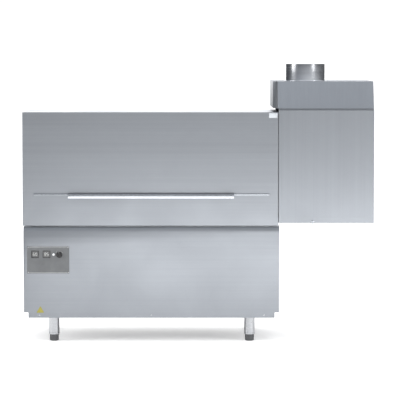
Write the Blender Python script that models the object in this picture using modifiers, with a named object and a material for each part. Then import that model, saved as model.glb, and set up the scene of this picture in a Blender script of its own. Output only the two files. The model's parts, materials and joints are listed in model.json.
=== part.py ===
"""Rack conveyor dishwasher for commercial kitchens, with a drying tunnel over its exit.

Racks enter at the left (-X), are pushed along two track rails through the wash and rinse sections,
and leave at the right (+X) through the drying tunnel. The front (-Y) has one full-length door that
lifts straight up. Units are metres, +Z is up, and the origin is on the floor under the middle of
the machine's box. Everything stands at rest: door shut, feet screwed in, screws home.
"""

import math

import bmesh
import bpy
from mathutils import Matrix, Vector

# ---------------------------------------------------------------- driving dimensions

GAP = 0.0003  # air between two pieces that touch
SHEET = 0.002  # cabinet sheet
ROUND = 20  # sides of a turned piece
BLADE_WALL = 0.003  # impeller and fan blades
PIPE_SIDES = 12
STEP = 0.001  # a joined block ends this far inside its neighbour
NIP = 0.010  # cutters reach at least this far past a face
REACH = 0.020
SHY = 0.0002
MERGE = 0.00001
SAME_WAY = 0.99  # cosine above which a face looks along a side
HOLE_REACH = 0.050  # cutters through a whole wall, rim or floor

LENGTH_BODY = 1.695  # wash and rinse sections
LENGTH_DRYER = 0.630  # drying tunnel
DEPTH = 0.880  # handle front to fan box back
LEFT = -(LENGTH_BODY + LENGTH_DRYER) / 2
RIGHT = (LENGTH_BODY + LENGTH_DRYER) / 2
JOIN = LEFT + LENGTH_BODY  # where the drying tunnel meets the body
FRONT = -DEPTH / 2
BACK = DEPTH / 2

# feet, legs and base frame
FOOT_RADIUS = 0.0305
FOOT_HEIGHT = 0.042
FOOT_EDGE = 0.008
STEM_RADIUS = 0.010
STEM_CLEARANCE = 0.0005
STEM_LENGTH = 0.075
LEG_RADIUS = 0.035
LEG_LENGTH = 0.121
LEG_WALL = 0.002
LEG_PLUG = 0.016
LEG_FLANGE_RADIUS = 0.046
LEG_FLANGE = 0.004
LEG_INSET_LEFT = 0.2009  # body's left end to the front left leg's axis
LEG_INSET_RIGHT = 0.1918  # body's right end to the front right leg's axis
LEG_INSET_FRONT = 0.110
LEG_INSET_BACK = 0.110
REAR_LEG_SPREAD_LEFT = 0.044  # rear legs stand a little further out than the front ones
REAR_LEG_SPREAD_RIGHT = 0.012
BASE_HEIGHT = 0.040
BASE_RAIL = 0.060
BASE_WALL = 0.003
BASE_BOTTOM = FOOT_HEIGHT + LEG_LENGTH
BASE_TOP = BASE_BOTTOM + BASE_HEIGHT

# lower cabinet
CABINET_SHIFT = 0.004  # the cabinet stands this far right of the door
CABINET_LEFT = LEFT + CABINET_SHIFT
CABINET_RIGHT = JOIN + CABINET_SHIFT
PANEL_RETURN = 0.020  # depth of the panels' folded edges
PANEL_DROP = 0.004  # lower front panel hangs this far below the base frame
PANEL_FACE = FRONT + 0.044
CABINET_BACK = BACK - 0.040
CABINET_HEIGHT = 0.5627  # base frame top to tank deck
DECK = BASE_TOP + CABINET_HEIGHT + SHEET  # top of the tank's rim
STRIP_HEIGHT = 0.034  # slanted strip along the lower panel's top
STRIP_DROP = 0.005  # strip's top edge below the deck
STRIP_LIP = 0.004  # flat edge behind the strip
PANEL_BOTTOM = BASE_BOTTOM - PANEL_DROP
PANEL_TOP = DECK - STRIP_DROP
NOTCH_WIDTH = 0.030
NOTCH_HEIGHT = 0.036
SIDE_FLANGE = 0.060
PANEL_LIP_CLEARANCE = 0.006  # side panel's lip to the hopper
BASE_INSET_LEFT = 0.002  # panel's left notch to the base frame
BASE_INSET_RIGHT = 0.007
LEG_MARGIN = 0.002  # rails are centred over the legs and this much further out
BASE_LEFT = CABINET_LEFT + NOTCH_WIDTH + BASE_INSET_LEFT
BASE_RIGHT = CABINET_RIGHT - NOTCH_WIDTH - BASE_INSET_RIGHT
BASE_FRONT = FRONT + LEG_INSET_FRONT - BASE_RAIL / 2 - LEG_MARGIN
BASE_BACK = BACK - LEG_INSET_BACK + BASE_RAIL / 2 + LEG_MARGIN

# wash hood and door
HOOD_FRONT = FRONT + 0.098
HOOD_BACK = CABINET_BACK - SHEET
HOOD_HEIGHT = 0.7537
HOOD_BOTTOM = DECK + GAP
HOOD_TOP = HOOD_BOTTOM + HOOD_HEIGHT
DOOR_HEIGHT = 0.751
DOOR_RAISE = 0.005  # door's bottom edge above the deck
DOOR_BOTTOM = DECK + DOOR_RAISE
DOOR_TOP = DOOR_BOTTOM + DOOR_HEIGHT
DOOR_RIGHT = JOIN - 0.005
DOOR_THICKNESS = 0.028
DOOR_SHEET = 0.0015
DOOR_INNER_DEPTH = 0.012
HANDLE_PROJECTION = 0.038
DOOR_FACE = FRONT + HANDLE_PROJECTION
DOOR_BACK = DOOR_FACE + DOOR_THICKNESS
HANDLE_RISE = 0.212  # door's bottom edge to the handle's top
HANDLE_PLATE = 0.030
HANDLE_LIP = 0.010
HANDLE_SHEET = 0.003
HANDLE_INSET_LEFT = 0.0715  # thin rail's left end from the door's left edge
HANDLE_INSET_RIGHT = 0.0575
GRIP_INSET_LEFT = 0.3025
GRIP_INSET_RIGHT = 0.2915
HANDLE_RAIL_DEPTH = 0.010

# door guides, shoes and spring balance
GUIDE_WIDTH = 0.040
GUIDE_WALL = 0.002
GUIDE_INSET = 0.030  # guide's centre line from the door's edge
GUIDE_LIP = 0.010
GUIDE_FRONT = DOOR_BACK + 0.002
GUIDE_BACK = HOOD_FRONT - GAP
GUIDE_MARGIN = 0.007  # guide ends short of the hood's top and bottom
SHOE_LENGTH = 0.250
SHOE_RAISE = 0.030
SHOE_CLEARANCE = 0.001
SHOE_PLATE = 0.001
LUG_SIZE = 0.011
LUG_HEIGHT = 0.050
LUG_CLEARANCE = 0.0015  # guide's side to the lug
REEL_RADIUS = 0.030
REEL_HUB_RADIUS = 0.0285
REEL_CLEARANCE = 0.005  # guide's side to the reel's flange
REEL_OFFSET = GUIDE_WIDTH / 2 + REEL_CLEARANCE + REEL_RADIUS  # guide's centre line to the reel's axis
REEL_WIDTH = 0.022
REEL_DROP = 0.052  # hood's top to the reel's axis
REEL_PIN_RADIUS = 0.005
REEL_PIN = 0.004
REEL_FLANGE = 0.0025

# rack path
TRACK_HEIGHT = 0.870  # underside of the racks
RACK_SIZE = 0.500
RACK_CENTRE_Y = FRONT + 0.405
RACK_PLAY = 0.0085  # rack side to rail guard
RAIL_LEDGE = 0.040
RAIL_GUARD = 0.036
RAIL_SHEET = 0.003
RAIL_INSET = 0.004  # rails end short of the tunnel's ends
TUNNEL_CLEAR = 0.460  # height of the entry and exit openings above the track
TUNNEL_SIDE = 0.018  # opening's side to the rail guard's outer face
BAR_WIDTH = 0.040
BAR_HEIGHT = 0.020
BAR_DROP = 0.012  # bar's top below the track
BAR_STROKE = 0.130
BAR_INSET = 0.060
BAR_PLAY = 0.010
PAWL_COUNT = 8
PAWL_LENGTH = 0.030
PAWL_WIDTH = 0.012
PAWL_RISE = 0.015  # pawl's top above the track
PAWL_SINK = 0.0015  # pawl's root below the bar's top
PAWL_INSET = 0.030  # first pawl's middle from the bar's end
BAR_WALL = 0.002
BAR_SLOT_MARGIN = 0.010  # slot's side to the bar

# front opening of the hood
MOUTH_SIDE = 0.080
MOUTH_SILL = 0.060
MOUTH_HEAD = 0.100

# tank
TANK_RIM_FRONT = GUIDE_FRONT
TANK_RIM_BACK = CABINET_BACK - PANEL_RETURN - SHEET
TANK_MOUTH_SIDE = 0.055  # rim's outer edge to the hopper's mouth, at both ends
TANK_MOUTH_FRONT = 0.037
TANK_MOUTH_BACK = 0.068
HOPPER_DEPTH = 0.126
BASIN_DEPTH = 0.140
BASIN_LEFT = LEFT + 0.6125
BASIN_LENGTH = 0.700
BASIN_FRONT = FRONT + 0.170
BASIN_WIDTH = 0.540
BASIN_TOP = DECK - HOPPER_DEPTH
BASIN_FLOOR = BASIN_TOP - BASIN_DEPTH
DRAIN_X = BASIN_LEFT + 0.630
DRAIN_Y = FRONT + 0.640
DRAIN_RADIUS = 0.026
DRAIN_WALL = 0.002
DRAIN_DROP = 0.110
DRAIN_BEND = 0.020
STANDPIPE_RADIUS = 0.018
STANDPIPE_SPIGOT = 0.020
STANDPIPE_WALL = 0.0015
STANDPIPE_COLLAR = 0.005  # how far it stands out, and its height
STANDPIPE_TOP = BASIN_TOP + 0.030
HOLE_CLEARANCE = 0.0006
STRAINER_WALL = 0.0015
STRAINER_DEPTH = 0.030
STRAINER_INSET = 0.010
STRAINER_GRIP = 0.100
STRAINER_GRIP_WIDTH = 0.016
STRAINER_GRIP_TOP = 0.051  # above the tray's floor
STRAINER_POST = 0.006
STRAINER_LENGTH = 0.480
STRAINER_RISE = 0.012  # tray's floor above the basin's edge

# pump, supply and wash arms
PUMP_X = BASIN_LEFT + 0.200
PUMP_Y = FRONT + 0.540
PUMP_Z = BASE_TOP + 0.150
VOLUTE_RADIUS = 0.100
VOLUTE_WIDTH = 0.080
VOLUTE_WALL = 0.005
OUTLET_ROOT = 0.045  # outlet pipe starts this far behind the shaft
OUTLET_BORE_ROOT = 0.020
SUCTION_STUB_WALL = 0.003
SUCTION_SUMP = 0.9  # share of the bend that the bore runs below the stub
SUCTION_RADIUS = 0.030
SUCTION_WALL = 0.004
SUCTION_BEND = 0.030
SUCTION_LENGTH = 0.045  # volute's side to the suction pipe's axis
SUCTION_X = PUMP_X - VOLUTE_WIDTH / 2 - SUCTION_LENGTH
IMPELLER_RADIUS = 0.085
IMPELLER_WIDTH = 0.040
IMPELLER_HUB_WALL = 0.006
IMPELLER_PLATE = 0.006
IMPELLER_BLADES = 6
IMPELLER_SETBACK = 0.012  # back plate to the casing's wall
PUMP_SHAFT_RADIUS = 0.010
SHAFT_CLEARANCE = 0.004
PUMP_MOTOR_RADIUS = 0.075
PUMP_MOTOR_LENGTH = 0.220
SUPPLY_RADIUS = 0.020
SUPPLY_WALL = 0.002
SUPPLY_Y = BACK - 0.085
OUTLET_RISE = 0.070
OUTLET_STUB = 0.010
SUPPLY_BEND = 0.020
ARM_RADIUS = 0.015
ARM_WALL = 0.0015
HEADER_BORE_EXTRA = 0.0015  # header's bore is this much wider than the arms'
ARM_COUNT = 3
ARM_PITCH = 0.250
ARM_FIRST = LEFT + 0.3125
UPPER_ARM_RISE = 0.530  # above the track
LOWER_ARM_DROP = 0.075  # below the track
HEADER_INSET = 0.055  # supply pipe's axis to the header's axis
HEADER_END = 0.030
HEADER_EXTRA = 0.003  # header's radius over an arm's
STUB_SHORT = 0.004
ARM_FRONT_INSET = 0.045
RINSE_X = JOIN - 0.3325
RINSE_LOW_BEND = 0.004  # bend's start behind the arch's front
RINSE_HIGH_BEND = 0.010
RINSE_BOW = 0.006  # upright stands this far in front
RINSE_RADIUS = 0.008

# conveyor drive
CRANK_X = JOIN - 0.2025
CRANK_HUB = 0.018  # arm's end from the shaft's axis
CRANK_TIP = 0.012  # arm's other end from the pin's axis
CRANK_ARM_WIDTH = 0.030
CRANK_PIN_SINK = 0.002
CRANK_RADIUS = 0.065
CRANK_SHAFT_RADIUS = 0.012
CRANK_PIN_RADIUS = 0.008
CRANK_PLATE = 0.010
CRANK_DROP = 0.003  # pin's top below the bar
CRANK_PIN_HEIGHT = 0.012
GEARBOX_SIZE = 0.110
GEARBOX_HEIGHT = 0.075
GEARBOX_TOP = DECK - 0.095
GEAR_MOTOR_RADIUS = 0.050
GEAR_PEDESTAL = 0.080
GEAR_FOOT_REACH = 0.163  # towards the front
GEAR_FOOT_BACK = 0.100

# heaters
TANK_HEATER_RADIUS = 0.006
TANK_HEATER_INSET = 0.070
TANK_HEATER_START = 0.230  # first run from the basin's left end
TANK_HEATER_END = 0.060  # last run to the drain's axis
TANK_HEATER_RUNS = 4
BOOSTER_RADIUS = 0.110
BOOSTER_HEIGHT = 0.380
BOOSTER_X = LEFT + 0.2125
BOOSTER_Y = FRONT + 0.590
BOOSTER_DOME = 0.030
BOOSTER_WALL = 0.004
BOOSTER_PORT = 0.012  # hole in the dome's middle

# control panel
CONTROL_LEFT = CABINET_LEFT + 0.0235
CONTROL_WIDTH = 0.279
CONTROL_BOTTOM = BASE_TOP + 0.252
CONTROL_HEIGHT = 0.181
CONTROL_PLATE = 0.003
CONTROL_BOX_DEPTH = 0.090
CONTROL_BOX_WALL = 0.0015
WINDOW_MARGIN = 0.014
DISPLAY_WIDTH = 0.049
DISPLAY_HEIGHT = 0.047
DISPLAY_PROUD = 0.003
DISPLAY_DEPTH = 0.030
DISPLAY_STEP = 0.003
DISPLAY_RISE = 0.128  # centre above the plate's bottom edge
WASH_DISPLAY_X = 0.053  # from the plate's left edge
RINSE_DISPLAY_X = 0.129
LAMP_X = 0.176
LAMP_RADIUS = 0.0075
LAMP_DEPTH = 0.008  # behind the plate
LAMP_PROUD = 0.003
LAMP_DOME = 0.0005
LAMP_CROWN = 0.7  # share of the radius that is nearly flat
LAMP_RISE = 0.126
KNOB_X = 0.213
KNOB_RISE = 0.125
KNOB_RADIUS = 0.0205
KNOB_DEPTH = 0.018
KNOB_STEM = 0.010  # behind the plate
KNOB_SKIRT = 0.004
KNOB_TAPER = 0.86  # face's share of the skirt's radius
KNOB_SHAFT_RADIUS = 0.004

# rear connections
INLET_X = BOOSTER_X
INLET_Z = BASE_TOP + 0.420
GLAND_X = LEFT + 0.1125
GLAND_Z = BASE_TOP + 0.100
FITTING_RADIUS = 0.014
FITTING_LENGTH = 0.030
FITTING_SEAT = 0.002
FITTING_FLOOR = 0.006  # thickness behind a fitting's bore
FITTING_HEX_RADIUS = 0.021
FITTING_HEX = 0.010

# drying tunnel
DRYER_DROP = 0.079  # tunnel's floor below the track
DRYER_BOTTOM = TRACK_HEIGHT - DRYER_DROP
COVER_HEIGHT = 0.746
COVER_TOP = DRYER_BOTTOM + COVER_HEIGHT
COVER_GAP = 0.011  # dark slot between the cover and the fan box
COVER_THICKNESS = 0.026
COVER_FACE = DOOR_FACE
DRYER_FRONT = DOOR_BACK
DRYER_TOP = COVER_TOP + COVER_GAP - GAP
DRYER_FRAME = 0.050  # frame round the opening behind the cover
LATCH_X = JOIN + 0.2245
LATCH_RADIUS = 0.009
LATCH_HEAD = 0.006
LATCH_EDGE = 0.002
LATCH_CROWN = 0.75  # face's share of the head's radius
LATCH_TONGUE_DEPTH = 0.003
LATCH_TONGUE = 0.022
LATCH_TONGUE_WIDTH = 0.010
LATCH_RISE = 0.009
DRYER_HEATER_RADIUS = 0.007
DRYER_HEATER_DROP = 0.085
DRYER_HEATER_REACH = 0.200  # front bends from the racks' centre line
DRYER_HEATER_BACK = 0.050
DRYER_HEATER_RUNS = 5
DRYER_HEATER_START = 0.070
DRYER_HEATER_INSET = 0.090
CURTAIN_SHEET = 0.003
CURTAIN_STRIPS = 6
CURTAIN_SLIT = 0.003
CURTAIN_HEADER = 0.040
CURTAIN_HEAD_DROP = 0.012
CURTAIN_RAISE = 0.030
CURTAIN_INSET = 0.030
CURTAIN_ROD_RADIUS = 0.006

# fan box and exhaust
FAN_BOX_SETBACK = 0.0035  # fascia behind the door's back
FAN_BOX_FRONT = DOOR_BACK + FAN_BOX_SETBACK
FAN_BOX_HEIGHT = 0.178
FAN_BOX_LEAN = 0.080  # fascia's top edge set back from its bottom edge
FAN_BOX_BOTTOM = DRYER_TOP + GAP
FAN_BOX_TOP = FAN_BOX_BOTTOM + FAN_BOX_HEIGHT
FAN_BOX_OVERHANG = 0.036  # beyond the join, over the hood
FAN_BOX_FLAT = 0.006
FAN_BOX_CHAMFER_LENGTH = 0.120
FAN_BOX_REAR_CHAMFER = 0.028
AIR_GATE_LEFT = 0.330  # opening in the fan box's floor, from the join
AIR_GATE_LENGTH = 0.240
AIR_GATE_WIDTH = 0.460
EXHAUST_X = JOIN + 0.1875
EXHAUST_Y = 0.0
EXHAUST_RADIUS = 0.1335
EXHAUST_HEIGHT = 0.113
EXHAUST_FLANGE = 0.018
FAN_RADIUS = 0.110
FAN_WIDTH = 0.070
FAN_HUB_RADIUS = 0.030
FAN_BLADE = 0.003
FAN_MOTOR_EDGE = 0.006
FAN_BLADES = 10
FAN_MOTOR_RADIUS = 0.060
FAN_MOTOR_HEIGHT = 0.052

# ---------------------------------------------------------------- finishes

STEEL = ("brushed steel", (0.56, 0.58, 0.61), 0.34, 1.0)
DARK_STEEL = ("dark steel", (0.20, 0.21, 0.22), 0.45, 1.0)
PAINTED = ("motor paint", (0.13, 0.20, 0.28), 0.5, 0.0)
CONTROL_GREY = ("control plate grey", (0.16, 0.17, 0.18), 0.5, 0.0)
BLACK = ("black plastic", (0.02, 0.02, 0.02), 0.4, 0.0)
WHITE = ("white lamp", (0.85, 0.86, 0.84), 0.3, 0.0)
NYLON = ("nylon", (0.75, 0.74, 0.70), 0.5, 0.0)
CURTAIN = ("curtain vinyl", (0.32, 0.36, 0.38), 0.4, 0.0)
BRASS = ("brass", (0.72, 0.52, 0.24), 0.35, 1.0)

AXES = {"X": Vector((1, 0, 0)), "Y": Vector((0, 1, 0)), "Z": Vector((0, 0, 1))}
PARTS = "commercial_dishwasher"
CUTTERS = "cutters"


# ---------------------------------------------------------------- modelling helpers


def clear_scene():
    for obj in list(bpy.data.objects):
        bpy.data.objects.remove(obj, do_unlink=True)
    for name in (PARTS, CUTTERS):
        bpy.context.scene.collection.children.link(bpy.data.collections.new(name))


def finish_of(finish):
    """The Principled material of a (name, colour, roughness, metallic) finish."""
    name, colour, roughness, metallic = finish
    material = bpy.data.materials.get(name)
    if material is None:
        material = bpy.data.materials.new(name)
        material.use_nodes = True
        shader = material.node_tree.nodes["Principled BSDF"]
        shader.inputs["Base Color"].default_value = (*colour, 1)
        shader.inputs["Roughness"].default_value = roughness
        shader.inputs["Metallic"].default_value = metallic
    return material


def add(name, data, place, finish):
    """A part made of this data, or a hidden cutter if it has no finish."""
    obj = bpy.data.objects.new(name, data)
    obj.location = place
    if finish is None:
        obj.hide_render = True
        obj.display_type = "WIRE"
    else:
        data.materials.append(finish_of(finish))
    bpy.data.collections[PARTS if finish else CUTTERS].objects.link(obj)
    return obj


def block(name, low, high, finish=None):
    """A box between two corners, with its origin at its middle."""
    low, high = Vector(low), Vector(high)
    mesh = bpy.data.meshes.new(name)
    shape = bmesh.new()
    bmesh.ops.create_cube(shape, size=1)
    bmesh.ops.scale(shape, vec=high - low, verts=shape.verts)
    shape.to_mesh(mesh)
    shape.free()
    return add(name, mesh, (low + high) / 2, finish)


def rod(name, start, end, radius, finish=None, sides=PIPE_SIDES):
    """A cylinder between two points, with its origin at its middle."""
    start, end = Vector(start), Vector(end)
    run = end - start
    mesh = bpy.data.meshes.new(name)
    shape = bmesh.new()
    bmesh.ops.create_cone(
        shape, cap_ends=True, segments=sides, radius1=radius, radius2=radius, depth=run.length
    )
    turn = AXES["Z"].rotation_difference(run.normalized()).to_matrix()
    bmesh.ops.rotate(shape, cent=(0, 0, 0), matrix=turn, verts=shape.verts)
    shape.to_mesh(mesh)
    shape.free()
    smooth(mesh)
    return add(name, mesh, (start + end) / 2, finish)


def smooth(mesh):
    mesh.shade_smooth()
    mesh.set_sharp_from_angle(angle=math.radians(35))


def in_plane(axis, across, up, along):
    """A point from its two coordinates in the plane across this axis, and its place along it."""
    return {"X": (along, across, up), "Y": (across, along, up), "Z": (across, up, along)}[axis]


def profile_mesh(name, outline, axis, start, end, closed):
    """The outline, swept from start to end along an axis: a prism if closed, else an open sheet."""
    shape = bmesh.new()
    ring = [shape.verts.new(in_plane(axis, a, b, start)) for a, b in outline]
    sweep = AXES[axis] * (end - start)
    if closed:
        made = bmesh.ops.extrude_face_region(shape, geom=[shape.faces.new(ring)])
    else:
        edges = [shape.edges.new(pair) for pair in zip(ring, ring[1:])]
        made = bmesh.ops.extrude_edge_only(shape, edges=edges)
    moved = [item for item in made["geom"] if isinstance(item, bmesh.types.BMVert)]
    bmesh.ops.translate(shape, vec=sweep, verts=moved)
    bmesh.ops.recalc_face_normals(shape, faces=shape.faces)
    mesh = bpy.data.meshes.new(name)
    shape.to_mesh(mesh)
    shape.free()
    return mesh


def recentre(mesh):
    """Moves the mesh's own origin to the middle of its box, and returns where that is."""
    points = [vertex.co for vertex in mesh.vertices]
    low = Vector([min(point[i] for point in points) for i in range(3)])
    high = Vector([max(point[i] for point in points) for i in range(3)])
    middle = (low + high) / 2
    mesh.transform(Matrix.Translation(-middle))
    return middle


def prism(name, outline, axis, start, end, finish=None):
    mesh = profile_mesh(name, outline, axis, start, end, closed=True)
    return add(name, mesh, recentre(mesh), finish)


def thicken(obj, wall, offset=-1.0, exact=False):
    """Gives a surface its wall. The exact method keeps the thickness where walls of unlike slope meet."""
    solid = obj.modifiers.new("wall", "SOLIDIFY")
    solid.thickness = wall
    solid.offset = offset
    solid.use_even_offset = True
    if exact:
        solid.solidify_mode = "NON_MANIFOLD"
        solid.nonmanifold_thickness_mode = "CONSTRAINTS"
    return obj


def folded(name, path, axis, start, end, wall, finish=None):
    """A bent sheet: its middle surface follows the path across this axis."""
    mesh = profile_mesh(name, path, axis, start, end, closed=False)
    return thicken(add(name, mesh, recentre(mesh), finish), wall, offset=0.0)


def open_prism(name, outline, axis, start, end, open_sides, wall, finish=None):
    """A prism's shell, its wall inside the outline, without the faces that look along open_sides."""
    mesh = profile_mesh(name, outline, axis, start, end, closed=True)
    shape = bmesh.new()
    shape.from_mesh(mesh)
    gone = [face for face in shape.faces if any(face.normal.dot(side) > SAME_WAY for side in open_sides)]
    bmesh.ops.delete(shape, geom=gone, context="FACES")
    shape.to_mesh(mesh)
    shape.free()
    return thicken(add(name, mesh, recentre(mesh), finish), wall)


def rectangle(left, bottom, right, top):
    return [(left, bottom), (right, bottom), (right, top), (left, top)]


def case(name, low, high, open_sides, wall, finish=None):
    """A sheet box between two corners, open on the given sides."""
    outline = rectangle(low[0], low[1], high[0], high[1])
    return open_prism(name, outline, "Z", low[2], high[2], open_sides, wall, finish)


def turned(name, profile, centre, axis, finish=None, sides=ROUND, ring=False):
    """A profile of (radius, height) points, bottom to top, turned about an axis through centre."""
    mesh = bpy.data.meshes.new(name)
    shape = bmesh.new()
    points = [shape.verts.new((radius, 0, height)) for radius, height in reversed(profile)]
    pairs = list(zip(points, points[1:]))
    if ring:
        pairs.append((points[-1], points[0]))
    for pair in pairs:
        shape.edges.new(pair)
    shape.to_mesh(mesh)
    shape.free()
    obj = add(name, mesh, centre, finish)
    obj.rotation_mode = "QUATERNION"
    obj.rotation_quaternion = AXES["Z"].rotation_difference(Vector(axis))
    screw = obj.modifiers.new("turn", "SCREW")
    screw.steps = sides
    screw.render_steps = sides
    screw.use_merge_vertices = True
    screw.merge_threshold = MERGE
    screw.use_smooth_shade = True
    return obj


def pipe(name, points, radius, wall=None, finish=None):
    """A round bar along straight runs, or a tube open at both ends if it has a wall."""
    curve = bpy.data.curves.new(name, "CURVE")
    curve.dimensions = "3D"
    curve.bevel_depth = radius
    curve.bevel_resolution = 2
    curve.use_fill_caps = wall is None
    spline = curve.splines.new("POLY")
    spline.points.add(len(points) - 1)
    start = Vector(points[0])
    for knot, point in zip(spline.points, points):
        knot.co = (*(Vector(point) - start), 1)
    obj = add(name, curve, start, finish)
    if wall is not None:
        thicken(obj, wall)
    return obj


def cut(obj, *cutters):
    return combine(obj, "DIFFERENCE", cutters)


def join(obj, *others):
    return combine(obj, "UNION", others)


def combine(obj, operation, others):
    for other in others:
        boolean = obj.modifiers.new(other.name, "BOOLEAN")
        boolean.operation = operation
        boolean.solver = "EXACT"
        boolean.object = other
    return obj


def paddle_wheel(name, centre, axis, hub, tip, blades, width, plate, finish):
    """A wheel of radial blades on a back plate, with its origin on its axis at the plate's back."""
    wheel = turned(name, [(0, 0), (tip, 0), (tip, plate), (hub, plate), (hub, width), (0, width)],
                   centre, axis, finish)
    turn = wheel.rotation_quaternion
    mesh = bpy.data.meshes.new(name + "_blade")
    shape = bmesh.new()
    bmesh.ops.create_cube(shape, size=1)
    span = tip - hub
    bmesh.ops.scale(shape, vec=(span, BLADE_WALL, width - plate / 2), verts=shape.verts)
    middle = (hub + span / 2 - BLADE_WALL, 0, (width + plate / 2) / 2 - plate / 8)
    bmesh.ops.translate(shape, vec=middle, verts=shape.verts)
    shape.to_mesh(mesh)
    shape.free()
    for index in range(blades):
        blade = add(f"{name}_blade_{index}", mesh, centre, None)
        blade.rotation_mode = "QUATERNION"
        spin = Matrix.Rotation(math.tau * index / blades, 3, "Z").to_quaternion()
        blade.rotation_quaternion = turn @ spin
        join(wheel, blade)
    return wheel


# ---------------------------------------------------------------- stand: feet, legs, base frame


def leg_places():
    """Each leg's name and its axis on the floor."""
    left = LEFT + LEG_INSET_LEFT
    right = JOIN - LEG_INSET_RIGHT
    front = FRONT + LEG_INSET_FRONT
    back = BACK - LEG_INSET_BACK
    return {
        "front_left": (left, front),
        "front_right": (right, front),
        "rear_left": (left - REAR_LEG_SPREAD_LEFT, back),
        "rear_right": (right + REAR_LEG_SPREAD_RIGHT, back),
    }


def make_foot(name, x, y):
    """A round pad with a threaded stem, its origin on the leg's axis at the floor."""
    edge = [
        (FOOT_RADIUS - FOOT_EDGE * (1 - math.sin(turn)), FOOT_EDGE * (1 - math.cos(turn)))
        for turn in (math.radians(15 * step) for step in range(7))
    ]
    pad_top = FOOT_HEIGHT - GAP
    profile = [(0, 0)] + edge + [(FOOT_RADIUS, pad_top), (STEM_RADIUS, pad_top)]
    profile += [(STEM_RADIUS, pad_top + STEM_LENGTH), (0, pad_top + STEM_LENGTH)]
    turned("foot_" + name, profile, (x, y, 0), AXES["Z"], DARK_STEEL)


def make_leg(name, x, y):
    """A tube with a bored plug at its bottom for the stem and a flange at its top."""
    bore = STEM_RADIUS + STEM_CLEARANCE
    top = LEG_LENGTH - GAP
    inner = LEG_RADIUS - LEG_WALL
    profile = [(bore, 0), (LEG_RADIUS, 0), (LEG_RADIUS, top - LEG_FLANGE)]
    profile += [(LEG_FLANGE_RADIUS, top - LEG_FLANGE), (LEG_FLANGE_RADIUS, top)]
    profile += [(inner, top), (inner, LEG_PLUG), (bore, LEG_PLUG)]
    turned("leg_" + name, profile, (x, y, FOOT_HEIGHT), AXES["Z"], STEEL, ring=True)


def cross_member_places():
    """The middle of each cross member: two ends, and one under each heavy piece."""
    half = BASE_RAIL / 2
    return (
        BASE_LEFT + half,
        BOOSTER_X,
        PUMP_X + VOLUTE_WIDTH / 2 + PUMP_MOTOR_LENGTH * 0.6,
        CRANK_X,
        BASE_RIGHT - half,
    )


def make_base_frame():
    """Channel sections, open below, welded into a ladder."""
    frame = block(
        "base_frame", (BASE_LEFT, BASE_FRONT, BASE_BOTTOM), (BASE_RIGHT, BASE_BACK, BASE_TOP), STEEL
    )
    half = BASE_RAIL / 2
    middles = cross_member_places()
    low_y = BASE_FRONT + BASE_RAIL
    high_y = BASE_BACK - BASE_RAIL
    hollow_top = BASE_TOP - BASE_WALL
    hollow = block(
        "base_hollow",
        (BASE_LEFT + BASE_WALL, BASE_FRONT + BASE_WALL, BASE_BOTTOM - NIP),
        (BASE_RIGHT - BASE_WALL, BASE_BACK - BASE_WALL, hollow_top),
    )
    for index, (here, following) in enumerate(zip(middles, middles[1:])):
        left, right = here + half, following - half
        bay = block(
            f"base_bay_{index}", (left, low_y, BASE_BOTTOM - REACH), (right, high_y, BASE_TOP + REACH)
        )
        rim = block(
            f"base_bay_rim_{index}",
            (left - BASE_WALL, low_y - BASE_WALL, BASE_BOTTOM - 1.5 * REACH),
            (right + BASE_WALL, high_y + BASE_WALL, BASE_TOP + 1.5 * REACH),
        )
        cut(hollow, rim)
        cut(frame, bay)
    cut(frame, hollow)


# ---------------------------------------------------------------- lower cabinet


def make_lower_front_panel():
    """A folded panel with a slanted strip along its top, notched at its lower corners."""
    back = PANEL_FACE + PANEL_RETURN
    outline = [
        (back, PANEL_BOTTOM),
        (PANEL_FACE, PANEL_BOTTOM),
        (PANEL_FACE, PANEL_TOP - STRIP_HEIGHT),
        (back - STRIP_LIP, PANEL_TOP),
        (back, PANEL_TOP),
    ]
    panel = open_prism(
        "lower_front_panel", outline, "X", CABINET_LEFT, CABINET_RIGHT, [AXES["Y"]], SHEET, STEEL
    )
    notch_top = PANEL_BOTTOM + NOTCH_HEIGHT
    for side, low, high in (
        ("left", CABINET_LEFT - NIP, CABINET_LEFT + NOTCH_WIDTH),
        ("right", CABINET_RIGHT - NOTCH_WIDTH, CABINET_RIGHT + NIP),
    ):
        notch = block(
            "panel_notch_" + side,
            (low, PANEL_FACE - NIP, PANEL_BOTTOM - NIP),
            (high, back + NIP, notch_top),
        )
        cut(panel, notch)
    window = block(
        "control_window",
        (CONTROL_LEFT + WINDOW_MARGIN, PANEL_FACE - NIP, CONTROL_BOTTOM + WINDOW_MARGIN),
        (
            CONTROL_LEFT + CONTROL_WIDTH - WINDOW_MARGIN,
            PANEL_FACE + SHEET + NIP / 2,
            CONTROL_BOTTOM + CONTROL_HEIGHT - WINDOW_MARGIN,
        ),
    )
    cut(panel, window)


def make_side_panels():
    """A folded sheet at each end, standing on the base frame and carrying the tank's rim."""
    front = PANEL_FACE + PANEL_RETURN + GAP
    back = CABINET_BACK - PANEL_RETURN - GAP
    bottom = BASE_TOP + GAP + SHEET / 2
    top = DECK - SHEET - GAP - SHEET / 2
    for side, skin, inward in (
        ("left_side_panel", CABINET_LEFT + SHEET / 2, 1),
        ("right_side_panel", CABINET_RIGHT - SHEET / 2, -1),
    ):
        flange = skin + inward * SIDE_FLANGE
        lip = skin + inward * (TANK_MOUTH_SIDE - SHEET - PANEL_LIP_CLEARANCE)
        folded(
            side, [(flange, bottom), (skin, bottom), (skin, top), (lip, top)],
            "Y", front, back, SHEET, STEEL,
        )


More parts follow.
